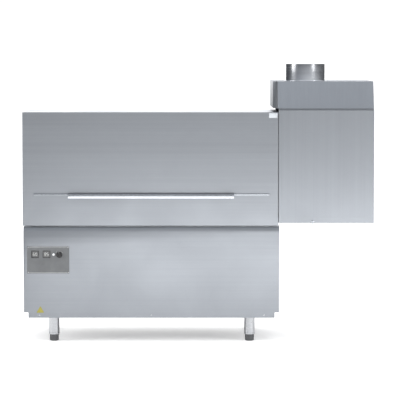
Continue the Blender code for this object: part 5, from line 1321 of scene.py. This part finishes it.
def curtain_mesh(node):
    """Overlapping flexible strips that hang from a header, each with its own gentle wave."""
    low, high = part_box(node)
    middle = (low.x + high.x) / 2
    strips_back = high.y - CURTAIN_BACK
    strips_front = strips_back - CURTAIN_WIDTH
    header_low = high.z - CURTAIN_HEADER
    random.seed(len(node))
    parts = [box_mesh("header", (middle - HEADER_HALF, strips_front, header_low),
                      (middle + HEADER_HALF, strips_back, high.z - 0.004), 0.0012)]
    parts.append(turned("rod", [(0, 0), (0.0055, 0), (0.006, 0.0005), (0.006, high.y - low.y - 0.0005),
                                (0.0055, high.y - low.y), (0, high.y - low.y)],
                        (middle, low.y, high.z - 0.006), Y, 24))
    pitch = (strips_back - strips_front) / CURTAIN_STRIPS
    for index in range(CURTAIN_STRIPS):
        phase, waves = random.uniform(0, math.tau), random.uniform(0.8, 1.5)
        strip = bmesh.new()
        bmesh.ops.create_grid(strip, x_segments=5, y_segments=36, size=0.5)
        for vertex in strip.verts:
            along, down = vertex.co.x + 0.5, vertex.co.y + 0.5
            wave = STRIP_WAVE * math.sin(waves * math.tau * down + phase) * (1 - down) ** 0.5
            crown = STRIP_CROWN * math.cos(math.pi * (along - 0.5))
            vertex.co = (middle + wave + crown, strips_front + pitch * (index + along * STRIP_SHARE),
                         low.z + (header_low + 0.004 - low.z) * down)
        mesh = bpy.data.meshes.new("strip")
        strip.to_mesh(mesh)
        strip.free()
        sheet = new_object("strip", mesh)
        wall = sheet.modifiers.new("wall", "SOLIDIFY")
        wall.thickness, wall.offset = STRIP_WALL, 0.0
        parts.append(evaluated_mesh(sheet))
    return joined("strips_of_" + node, *parts)


def closed_ring(name, profile, centre, sides, axis=Z):
    """A ring of revolution whose profile closes on itself."""
    shape = bmesh.new()
    points = [shape.verts.new((radius, 0, height)) for radius, height in profile]
    edges = [shape.edges.new((points[index - 1], points[index])) for index in range(len(points))]
    bmesh.ops.spin(shape, geom=points + edges, axis=Z, cent=(0, 0, 0), angle=math.tau, steps=sides)
    place = Matrix.Translation(centre) @ Z.rotation_difference(axis).to_matrix().to_4x4()
    bmesh.ops.transform(shape, matrix=place, verts=shape.verts)
    return to_mesh(name, shape)


def exhaust_ring():
    """Round collar with a spun flange and a rolled rim."""
    low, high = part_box("exhaust_collar")
    centre = Vector(((low.x + high.x) / 2, (low.y + high.y) / 2, low.z))
    flange, height, wall = (high.x - low.x) / 2, high.z - low.z, 0.002
    radius = flange - 0.018
    profile = [(flange, 0), (flange, 0.0012), (radius + 0.003, 0.002), (radius + 0.0012, 0.0026),
               (radius, 0.005)]
    profile += [(radius, height - 0.0016), (radius - 0.0005, height), (radius - wall + 0.0004, height),
                (radius - wall, height - 0.0010), (radius - wall, 0.002), (radius - wall - 0.001, 0)]
    return closed_ring("spun_exhaust_collar", profile, centre, 128)


def fan_wheel_mesh(detail):
    """Radial wheel: hub, back plate, inlet ring and leaning blades."""
    low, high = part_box("fan_wheel")
    centre = Vector(((low.x + high.x) / 2, (low.y + high.y) / 2, low.z))
    radius, width = (high.x - low.x) / 2, high.z - low.z
    hub = turned("hub", [(0, 0), (0.030, 0), (0.030, 0.004), (0.024, 0.012), (0.014, 0.030), (0.013, 0.034),
                         (0, 0.034)], centre, Z, 40)
    plate = turned("plate", [(0.0, 0.0005), (radius, 0.0005), (radius, 0.0025), (0.0, 0.0025)], centre, Z, 72)
    ring = closed_ring("ring", [(radius * 0.66, width - 0.006), (radius * 0.72, width - 0.002),
                                (radius, width - 0.002), (radius, width), (radius * 0.70, width),
                                (radius * 0.64, width - 0.005)], centre, 72)
    blades = grown("blades", "Ribs Round An Axis", "chamber steel", {
        "Count": detail.fan_blades, "Radius": radius * 0.84, "Depth": radius * 0.26, "Thickness": 0.0015,
        "Length": width - 0.004, "Lean": math.radians(28)}, bpy.data.meshes.new("blades"))
    blades.transform(Matrix.Translation(centre + Vector((0, 0, width / 2))))
    return joined("bladed_fan_wheel", hub, plate, ring, blades)


def heater_fins():
    """Fins along the dryer element's straight runs."""
    low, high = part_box("dryer_heater")
    radius = (high.z - low.z) / 2
    level = (high.z + low.z) / 2
    front, back = low.y + 0.045, HEATER_BACK - 0.03
    pitch = (high.x - low.x - 2 * radius) / (HEATER_RUNS - 1)
    shape = bmesh.new()
    for run in range(HEATER_RUNS):
        x = low.x + radius + pitch * run
        shape.edges.new([shape.verts.new((x, y, level)) for y in (front, back)])
    mesh = bpy.data.meshes.new("fins")
    shape.to_mesh(mesh)
    shape.free()
    made = grown("dryer_heater_fins", "Fins Along A Path", "pipe steel", {"Radius": 0.0125, "Pitch": 0.010},
                 mesh)
    return finish_piece(made, "pipe steel", "machine")


def latch_mesh():
    """Quarter-turn catch: a domed head with a raised key and a wing."""
    low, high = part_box("cover_latch")
    centre_x, centre_z = (low.x + high.x) / 2, high.z - 0.009
    radius = 0.009
    face, front = high.y, low.y
    depth = face - front
    head = turned("head", [(0, 0), (radius, 0)] + arc((radius - LATCH_RIM, depth * 0.45), LATCH_RIM, 0, 90, 4)
                  + [(radius * 0.55, depth * 0.92), (radius * 0.5, depth), (0, depth)],
                  (centre_x, face, centre_z), -Y, 40)
    wing = box_mesh("wing", (centre_x - 0.0045, face - 0.0030, low.z),
                    (centre_x + 0.0045, face - 0.0004, centre_z), 0.0012, 3)
    key = box_mesh("key", (centre_x - 0.0012, front, centre_z - 0.0055),
                   (centre_x + 0.0012, front + 0.0022, centre_z + 0.0055), 0.0004)
    return joined("turned_cover_latch", head, wing, key)


class DISHWASHER_OT_dryer(bpy.types.Operator):
    """Drying tunnel, front cover and catch, curtains, heater, fan, fan box and exhaust collar"""

    bl_idname = "dishwasher.dryer"
    bl_label = "Dryer and exhaust"

    def execute(self, context):
        detail = settings()[1]
        fold = settings()[0].edge_radius
        for node in ("dryer_housing", "dryer_front_cover", "fan_box"):
            refine(node, "dryer steel", fold)
        finish_piece(exhaust_ring(), "duct steel", "machine", ("exhaust_collar",))
        finish_piece(fan_wheel_mesh(detail), "chamber steel", "fan", ("fan_wheel",))
        refine("fan_motor", "motor enamel", 0.0015)
        refine("dryer_heater", "heated steel", 0)
        heater_fins()
        for node, body in (("curtain_entry", "entry_curtain"), ("curtain_exit", "exit_curtain")):
            finish_piece(curtain_mesh(node), "curtain vinyl", body, (node,))
        finish_piece(latch_mesh(), "polished trim", "latch", ("cover_latch",))
        return {"FINISHED"}


# ---------------------------------------------------------------- control panel

# Which bars of a number are lit, from a at the top clockwise to f, with g in the middle
SEGMENTS = {
    "0": "abcdef", "5": "acdfg", "6": "acdefg", "8": "abcdefg"}
READINGS = {"wash_display": "60", "rinse_display": "85"}
DIGIT_WIDTH = 0.0095
DIGIT_HEIGHT = 0.0190
BAR = 0.0022
BAR_DEPTH = 0.0004
BEZEL = 0.0035
WINDOW_SINK = 0.0010
TICKS = 7
TICK_SWEEP = 60  # degrees each way, as the knob turns
FLUTES = 24
CORNER_SCREW = 0.0065  # control plate's edge to its screws


def digit_bars(face, left, bottom, digit):
    """The lit bars of one number, standing just proud of a face that looks towards -Y."""
    right, top, middle = left + DIGIT_WIDTH, bottom + DIGIT_HEIGHT, bottom + DIGIT_HEIGHT / 2
    half, gap = BAR / 2, BAR * 0.35
    across = (left + half + gap, right - half - gap)
    spans = {
        "a": (*across, top - half, top + half), "g": (*across, middle - half, middle + half),
        "d": (*across, bottom - half, bottom + half),
        "b": (right - half, right + half, middle + half, top - half - gap),
        "c": (right - half, right + half, bottom + half + gap, middle - half),
        "f": (left - half, left + half, middle + half, top - half - gap),
        "e": (left - half, left + half, bottom + half + gap, middle - half),
    }
    return [box_mesh("bar", (x0, face - BAR_DEPTH, z0), (x1, face + BAR_DEPTH, z1), 0.0002, 1)
            for x0, x1, z0, z1 in (spans[bar] for bar in SEGMENTS[digit])]


def make_display(node):
    """A black bezel with a sunk window and a plain two-figure reading."""
    low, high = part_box(node)
    plate_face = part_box("control_plate")[0].y
    frame_parts = [
        box_mesh("rim", (low.x, low.y, low.z), (high.x, plate_face, low.z + BEZEL), 0.0008, 3),
        box_mesh("rim", (low.x, low.y, high.z - BEZEL), (high.x, plate_face, high.z), 0.0008, 3),
        box_mesh("rim", (low.x, low.y, low.z + BEZEL - 0.0004),
                 (low.x + BEZEL, plate_face, high.z - BEZEL + 0.0004), 0.0006, 3),
        box_mesh("rim", (high.x - BEZEL, low.y, low.z + BEZEL - 0.0004),
                 (high.x, plate_face, high.z - BEZEL + 0.0004), 0.0006, 3),
        box_mesh("case", (low.x + 0.002, plate_face, low.z + 0.002),
                 (high.x - 0.002, high.y, high.z - 0.002), 0.001, 2),
    ]
    finish_piece(joined(node + "_bezel", *frame_parts), "black moulding", "machine", (node,))
    window_face = low.y + WINDOW_SINK
    window = box_mesh(node + "_window", (low.x + BEZEL, window_face, low.z + BEZEL),
                      (high.x - BEZEL, plate_face, high.z - BEZEL), 0.0003, 1)
    finish_piece(window, "display window", "machine")
    middle = (low + high) / 2
    spread = DIGIT_WIDTH + 0.0060
    bars = []
    for index, digit in enumerate(READINGS[node]):
        left = middle.x - DIGIT_WIDTH / 2 + (index - 0.5) * spread
        bars += digit_bars(window_face, left, middle.z - DIGIT_HEIGHT / 2, digit)
    finish_piece(joined(node + "_figures", *bars), "display figures", "machine")


def make_lamp():
    """A domed lens in a polished ring."""
    low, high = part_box("lamp_lens")
    centre = Vector(((low.x + high.x) / 2, 0, (low.z + high.z) / 2))
    radius = (high.x - low.x) / 2
    plate_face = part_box("control_plate")[0].y
    proud = plate_face - low.y
    dome = [(0, plate_face - high.y), (radius * 0.62, plate_face - high.y), (radius * 0.62, 0.0004),
            (radius * 0.86, 0.0004)]
    dome += [(radius * 0.86 * math.cos(math.radians(angle)),
              0.0004 + (proud - 0.0004) * math.sin(math.radians(angle)))
             for angle in range(15, 90, 15)] + [(0, proud)]
    centre.y = plate_face
    finish_piece(turned("domed_lamp", dome, centre, -Y, 40), "lamp lens", "machine",
                 ("lamp_lens",))
    ring = [(radius * 0.80, 0), (radius, 0), (radius, 0.0008), (radius * 0.93, 0.0014),
            (radius * 0.86, 0.0014), (radius * 0.80, 0.0008)]
    finish_piece(closed_ring("lamp_ring", ring, centre, 40, -Y), "polished trim", "machine")


def make_knob():
    """A fluted knob on a skirt, with a pale pointer, and plain ticks on the plate round it."""
    low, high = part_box("selector_knob")
    centre = Vector(((low.x + high.x) / 2, high.y, (low.z + high.z) / 2))
    radius, length = (high.x - low.x) / 2, high.y - low.y
    plate_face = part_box("control_plate")[0].y
    skirt = high.y - plate_face + 0.0003
    profile = [(0, 0), (0.0045, 0), (0.0045, skirt), (radius, skirt), (radius, skirt + 0.0018),
               (radius - 0.0012, skirt + 0.0030),
               (radius * 0.80, skirt + 0.0036), (radius * 0.76, length - 0.0024)]
    profile += arc((radius * 0.76 - 0.0022, length - 0.0022), 0.0022, 0, 90, 4)[1:] + [(0, length)]
    knob = turned("fluted_selector_knob", profile, centre, -Y, FLUTES * 4)
    for vertex in knob.vertices:
        arm = Vector((vertex.co.x - centre.x, 0, vertex.co.z - centre.z))
        depth = centre.y - vertex.co.y
        if skirt + 0.0036 < depth < length - 0.0005 and arm.length > radius * 0.5:
            wave = 0.0007 * math.cos(FLUTES * math.atan2(arm.z, arm.x))
            vertex.co += arm.normalized() * (wave - 0.0004)
    finish_piece(knob, "black moulding", "knob", ("selector_knob",))
    face = centre.y - length
    mark = box_mesh("knob_pointer", (centre.x - 0.0017, face, centre.z - 0.002),
                    (centre.x + 0.0017, face + 0.0008, centre.z + radius * 0.72), 0.0003, 1)
    skirt_face = centre.y - skirt - 0.0018
    dot = box_mesh("dot", (centre.x - 0.0010, skirt_face - 0.0008, centre.z + radius * 0.82),
                   (centre.x + 0.0010, skirt_face + 0.0006, centre.z + radius * 0.93), 0.0002, 1)
    finish_piece(joined("knob_pointer", mark, dot), "pale marking", "knob")
    ticks = []
    for index in range(TICKS):
        angle = math.radians(TICK_SWEEP * (2 * index / (TICKS - 1) - 1))
        tick = box_mesh("tick", (-0.0005, plate_face - 0.0002, radius + 0.002),
                        (0.0005, plate_face + PROUD, radius + 0.0055), 0.0001, 1)
        tick.transform(Matrix.Translation((centre.x, 0, centre.z)) @ Matrix.Rotation(angle, 4, "Y"))
        ticks.append(tick)
    finish_piece(joined("selector_scale", *ticks), "pale marking", "machine")


class DISHWASHER_OT_controls(bpy.types.Operator):
    """Control plate, displays, lamp, selector knob and control box"""

    bl_idname = "dishwasher.controls"
    bl_label = "Controls"

    def execute(self, context):
        refine("control_plate", "control overlay", 0.0008)
        refine("control_box", "panel steel", 0.0012)
        for node in READINGS:
            make_display(node)
        make_lamp()
        make_knob()
        low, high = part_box("control_plate")
        inset = CORNER_SCREW
        corners = [(x, low.y, z) for x in (low.x + inset, high.x - inset)
                   for z in (low.z + inset, high.z - inset)]
        screws("control_plate_screws", "machine", corners, -Y, 0.0032)
        edge = joined("plate_edges",
                      *(box_mesh("edge", (low.x + 0.012, low.y - 0.0002, z - 0.0006),
                                 (high.x - 0.012, low.y + PROUD, z + 0.0006), 0.0001, 1)
                                       for z in (low.z + 0.0045, high.z - 0.0045)))
        finish_piece(edge, "pale marking", "machine")
        return {"FINISHED"}


# ---------------------------------------------------------------- screws, plates, vents and connections

SCREW_INSET = 0.03  # panel's edge to its screws
VENT_COLUMNS = (-0.62, -0.34)
VENT_FOOT = 0.12
VENT_PITCH = 0.022


def row(start, end, count):
    """Evenly spaced points from one place to another."""
    start, end = Vector(start), Vector(end)
    return [start.lerp(end, index / (count - 1)) for index in range(count)]


def hexagon(name, across_flats, low, high, centre, bore):
    """A hexagon nut about the Y axis with chamfered corners and a round bore."""
    reach = across_flats / math.sqrt(3)
    profile = [(bore, low), (reach * 0.93, low), (reach, low + 0.001), (reach, high - 0.001),
               (reach * 0.93, high), (bore, high)]
    return closed_ring(name, profile, centre, 6, Y)


def threaded(name, radius, bore, low, high, pitch, centre):
    """A pipe end about the Y axis with thread rings and a chamfered mouth."""
    profile = [(bore, low), (radius, low)]
    turns = int((high - low - 0.002) / pitch)
    for index in range(turns):
        start = low + 0.001 + index * pitch
        profile += [(radius, start), (radius - pitch * 0.45, start + pitch / 2)]
    profile += [(radius, high - 0.0012), (radius - 0.001, high), (bore + 0.0006, high), (bore, high - 0.0006)]
    return closed_ring(name, profile, centre, 48, Y)


def rounded_triangle(name, centre, reach, radius, front, back):
    """A triangular plate with rounded corners, upright, facing -Y."""
    points = []
    for corner in (90, 210, 330):
        hub = Vector((math.cos(math.radians(corner)), math.sin(math.radians(corner)))) * (reach - 2 * radius)
        points += [hub + radius * Vector((math.cos(math.radians(a)), math.sin(math.radians(a))))
                   for a in range(corner - 60, corner + 61, 15)]
    shape = bmesh.new()
    face = shape.faces.new([shape.verts.new((centre.x + p.x, back, centre.z + p.y)) for p in points])
    made = bmesh.ops.extrude_face_region(shape, geom=[face])
    bmesh.ops.translate(shape, vec=(0, front - back, 0),
                        verts=[v for v in made["geom"] if isinstance(v, bmesh.types.BMVert)])
    bmesh.ops.recalc_face_normals(shape, faces=shape.faces)
    return to_mesh(name, shape)


class DISHWASHER_OT_fasteners(bpy.types.Operator):
    """Screws, rear vents, blank plates and the connections at the back"""

    bl_idname = "dishwasher.fasteners"
    bl_label = "Fasteners and plates"

    def execute(self, context):
        detail = settings()[1]
        low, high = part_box("lower_front_panel")
        screws("front_panel_screws", "machine",
               [(x, low.y, low.z + 0.0185)
                for x in (low.x + 0.1035, (low.x + high.x) / 2 - 0.0005, high.x - 0.1005)], -Y)
        for side, node, facing in (("left", "left_side_panel", -X), ("right", "right_side_panel", X)):
            low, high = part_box(node)
            x = low.x if facing.x < 0 else high.x
            places = [place for y in (low.y + SCREW_INSET, high.y - SCREW_INSET)
                      for place in row((x, y, low.z + SCREW_INSET), (x, y, high.z - SCREW_INSET), 4)]
            screws(side + "_panel_screws", "machine", places, facing)
        low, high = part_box("rear_panel")
        places = row((low.x + 0.03, high.y, low.z + 0.02), (high.x - 0.03, high.y, low.z + 0.02), 6)
        places += row((low.x + 0.03, high.y, high.z - 0.02), (high.x - 0.03, high.y, high.z - 0.02), 6)
        screws("rear_panel_screws", "machine", places, Y)
        vents = [(Vector((x, high.y, low.z + VENT_FOOT + VENT_PITCH * index)), Y) for x in VENT_COLUMNS
                 for index in range(detail.louvres)]
        mesh = pattern("rear_louvres", "Pressed Louvres", "panel steel", {"Length": 0.20, "Depth": 0.006},
                       vents)
        finish_piece(mesh, "panel steel", "machine")
        low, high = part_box("dryer_housing")
        places = [place for z in (low.z + 0.03, high.z - 0.04)
                  for place in row((low.x + 0.03, high.y, z), (high.x - 0.03, high.y, z), 4)]
        screws("dryer_screws", "machine", places, Y)
        low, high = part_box("exhaust_collar")
        centre, reach = (low + high) / 2, (high.x - low.x) / 2 - 0.008
        places = [(centre.x + reach * math.cos(math.radians(a)),
                   centre.y + reach * math.sin(math.radians(a)), low.z + 0.0010)
                  for a in range(22, 382, 45)]
        screws("collar_screws", "machine", places, Z, 0.0035)
        self.plates()
        self.connections()
        return {"FINISHED"}

    def plates(self):
        """Plain plates, without any lettering."""
        low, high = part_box("lower_front_panel")
        centre = Vector((low.x + 0.1097, 0, low.z + 0.049))
        plate = rounded_triangle("blank_triangle_plate", centre, 0.030, 0.003, low.y - 0.0008, low.y + PROUD)
        finish_piece(plate, "dull olive plate", "machine")
        low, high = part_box("door_outer_skin")
        plate = box_mesh("blank_door_plate", (high.x - 0.0600, low.y - 0.0008, high.z - 0.0370),
                         (high.x - 0.0055, low.y + PROUD, high.z - 0.0060), 0.0003, 2)
        finish_piece(plate, "pale plate", "door")

    def connections(self):
        """Threaded water inlet and the empty cable gland."""
        low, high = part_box("water_inlet")
        centre = Vector(((low.x + high.x) / 2, low.y, (low.z + high.z) / 2))
        length = high.y - low.y
        nut = hexagon("inlet_nut", high.x - low.x - 0.0002, 0, 0.010, centre, 0.0105)
        end = threaded("inlet_end", 0.0130, 0.0080, 0.0005, length, 0.0023, centre)
        finish_piece(joined("threaded_water_inlet", nut, end), "brass", "machine",
                     ("water_inlet",))
        low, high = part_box("cable_gland")
        centre = Vector(((low.x + high.x) / 2, low.y, (low.z + high.z) / 2))
        length = high.y - low.y
        nut = hexagon("gland_nut", high.x - low.x - 0.0002, 0, 0.011, centre, 0.0112)
        radius, bore = 0.0165, 0.0085
        dome = [(bore, 0.0005), (0.0125, 0.0005), (0.0125, 0.0115), (radius, 0.0120),
                (radius, length - 0.008)]
        dome += arc((radius - 0.007, length - 0.0075), 0.007, 0, 80, 6)[1:] + [(bore, length),
                                                                               (bore - 0.0008,
                                                                                length - 0.002),
                                                                                (bore - 0.0008, 0.004)]
        cap = closed_ring("gland_cap", dome, centre, 60, Y)
        finish_piece(joined("domed_cable_gland", nut, cap), "black moulding", "machine",
                     ("cable_gland",))


# ---------------------------------------------------------------- studio

SENSOR = 0.036
FLOOR_SIZE = 1600.0
WHITE_LEVEL = 1.08
FLOOR_GLOW = 0.35


def soft_light(name, place, target, width, height, power, colour=(1, 1, 1)):
    """A large area light aimed at a point."""
    light = bpy.data.lights.new(name, "AREA")
    light.shape = "RECTANGLE"
    light.size, light.size_y = width, height
    light.energy = power
    light.color = colour
    lamp = bpy.data.objects.new(name, light)
    bpy.context.scene.collection.objects.link(lamp)
    lamp.location = place
    lamp.rotation_euler = (Vector(target) - Vector(place)).to_track_quat("-Z", "Y").to_euler()
    lamp.visible_camera = False
    return lamp


def make_camera(studio):
    """The camera in front of the machine, a little above its top, level with the horizon."""
    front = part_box("door_outer_skin")[0].y
    eye = Vector((studio.camera_side, front - studio.distance, studio.camera_height))
    aim = Vector((studio.camera_side, front, studio.aim_height))
    data = bpy.data.cameras.new("camera")
    data.sensor_width = SENSOR * 1000
    data.lens = data.sensor_width * studio.distance / studio.field
    data.clip_end = 2 * FLOOR_SIZE
    camera = bpy.data.objects.new("camera", data)
    bpy.context.scene.collection.objects.link(camera)
    camera.location = eye
    camera.rotation_euler = (aim - eye).to_track_quat("-Z", "Y").to_euler()
    bpy.context.scene.camera = camera


def make_floor(studio):
    """A plain pale floor with a faint unevenness."""
    shape = bmesh.new()
    bmesh.ops.create_grid(shape, x_segments=1, y_segments=1, size=FLOOR_SIZE / 2)
    mesh = bpy.data.meshes.new("floor")
    shape.to_mesh(mesh)
    shape.free()
    wires, shader, place = new_finish("floor")
    mottle = wires.noise(place, 1.2)
    wires.link(wires.mixed(mottle, shade(studio.floor, 0.99), shade(studio.floor, 1.01)),
               shader.inputs["Base Color"])
    shader.inputs["Roughness"].default_value = 0.9
    shader.inputs["Emission Color"].default_value = (1, 1, 1, 1)
    seen = wires.add("ShaderNodeLightPath").outputs["Is Camera Ray"]
    wires.link(wires.maths("MULTIPLY", seen, FLOOR_GLOW), shader.inputs["Emission Strength"])
    mesh.materials.append(finishes["floor"])
    new_object("floor", mesh)


def make_world():
    """White all round, except that reflections see a room darker overhead and to the left."""
    world = bpy.data.worlds.new("studio")
    world.use_nodes = True
    world.cycles.sampling_method = "NONE"
    bpy.context.scene.world = world
    wires = Wiring(world.node_tree)
    background = world.node_tree.nodes["Background"]
    direction = wires.add("ShaderNodeTexCoord").outputs["Generated"]
    parts = wires.add("ShaderNodeSeparateXYZ")
    wires.link(direction, parts.inputs[0])
    room = wires.add("ShaderNodeValToRGB")
    stops = ((0.46, 0.22), (0.54, 0.10), (0.62, 0.16), (0.76, 0.95))
    while len(room.color_ramp.elements) < len(stops):
        room.color_ramp.elements.new(0.5)
    for element, (height, grey) in zip(room.color_ramp.elements, stops):
        element.position, element.color = height, (grey * 0.97, grey, grey * 1.04, 1)
    wires.link(wires.spread(parts.outputs["Z"], -1.0, 1.0), room.inputs[0])
    sideways = wires.spread(parts.outputs["X"], -0.6, 0.6)
    walls = wires.mixed(sideways, (0.55, 0.56, 0.58, 1), (1, 1, 1, 1))
    shaded = wires.add("ShaderNodeMix", data_type="RGBA", blend_type="MULTIPLY")
    shaded.inputs["Factor"].default_value = 1.0
    wires.link(room.outputs["Color"], shaded.inputs[6])
    wires.link(walls, shaded.inputs[7])
    ray = wires.add("ShaderNodeLightPath")
    seen = wires.mixed(ray.outputs["Is Glossy Ray"], (1, 1, 1, 1), shaded.outputs[2])
    wires.link(seen, background.inputs["Color"])
    background.inputs["Strength"].default_value = WHITE_LEVEL


class DISHWASHER_OT_studio(bpy.types.Operator):
    """Camera, pale floor, soft lights and a plain room"""

    bl_idname = "dishwasher.studio"
    bl_label = "Studio"

    def execute(self, context):
        studio = settings()[2]
        context.scene.view_settings.view_transform = "Standard"
        make_camera(studio)
        make_floor(studio)
        make_world()
        soft_light("front_light", (2.2, -5.0, 0.5), (0.2, -0.4, 0.6), 7.0, 3.0, 13)
        soft_light("low_front_light", (0.9, -2.2, 0.45), (0.6, -0.4, 0.85), 4.4, 0.6, 17)
        soft_light("left_strip", (-6.2, -2.3, 1.9), (0.2, -0.2, 1.2), 3.0, 3.0, 200)
        soft_light("right_strip", (5.4, -4.4, 1.8), (0.6, -0.2, 1.2), 1.9, 3.0, 110)
        soft_light("top_light", (0.3, -0.6, 5.0), (0.0, 0.0, 0.8), 5.0, 4.0, 30)
        soft_light("back_light", (0.0, 4.5, 2.6), (0.0, 0.4, 0.9), 4.0, 2.2, 50)
        return {"FINISHED"}


OPERATORS = (
    DISHWASHER_OT_finishes,
    DISHWASHER_OT_patterns,
    DISHWASHER_OT_stand,
    DISHWASHER_OT_cabinet,
    DISHWASHER_OT_door,
    DISHWASHER_OT_balance,
    DISHWASHER_OT_water,
    DISHWASHER_OT_drive,
    DISHWASHER_OT_dryer,
    DISHWASHER_OT_controls,
    DISHWASHER_OT_fasteners,
    DISHWASHER_OT_studio,
)


# ---------------------------------------------------------------- panel, registration and run

GROUPS = (
    ("dishwasher_steel", SteelSettings),
    ("dishwasher_detail", DetailSettings),
    ("dishwasher_studio", StudioSettings),
)


class DISHWASHER_PT_sidebar(bpy.types.Panel):
    """Settings and build buttons for the dishwasher"""

    bl_idname = "DISHWASHER_PT_sidebar"
    bl_label = "Rack Conveyor Dishwasher"
    bl_space_type = "VIEW_3D"
    bl_region_type = "UI"
    bl_category = "Dishwasher"

    def draw(self, context):
        for attribute, group in GROUPS:
            box = self.layout.box()
            for name in group.__annotations__:
                box.prop(getattr(context.scene, attribute), name)
        for operator in OPERATORS:
            self.layout.operator(operator.bl_idname)


CLASSES = (*[group for _, group in GROUPS], *OPERATORS, DISHWASHER_PT_sidebar)


def register():
    for item in CLASSES:
        bpy.utils.register_class(item)
    for attribute, group in GROUPS:
        setattr(bpy.types.Scene, attribute, PointerProperty(type=group))


def unregister():
    for attribute, _ in GROUPS:
        delattr(bpy.types.Scene, attribute)
    for item in reversed(CLASSES):
        bpy.utils.unregister_class(item)


def main():
    """Builds everything."""
    register()
    for operator in OPERATORS:
        category, name = operator.bl_idname.split(".")
        getattr(getattr(bpy.ops, category), name)()


if __name__ == "__main__":
    main()
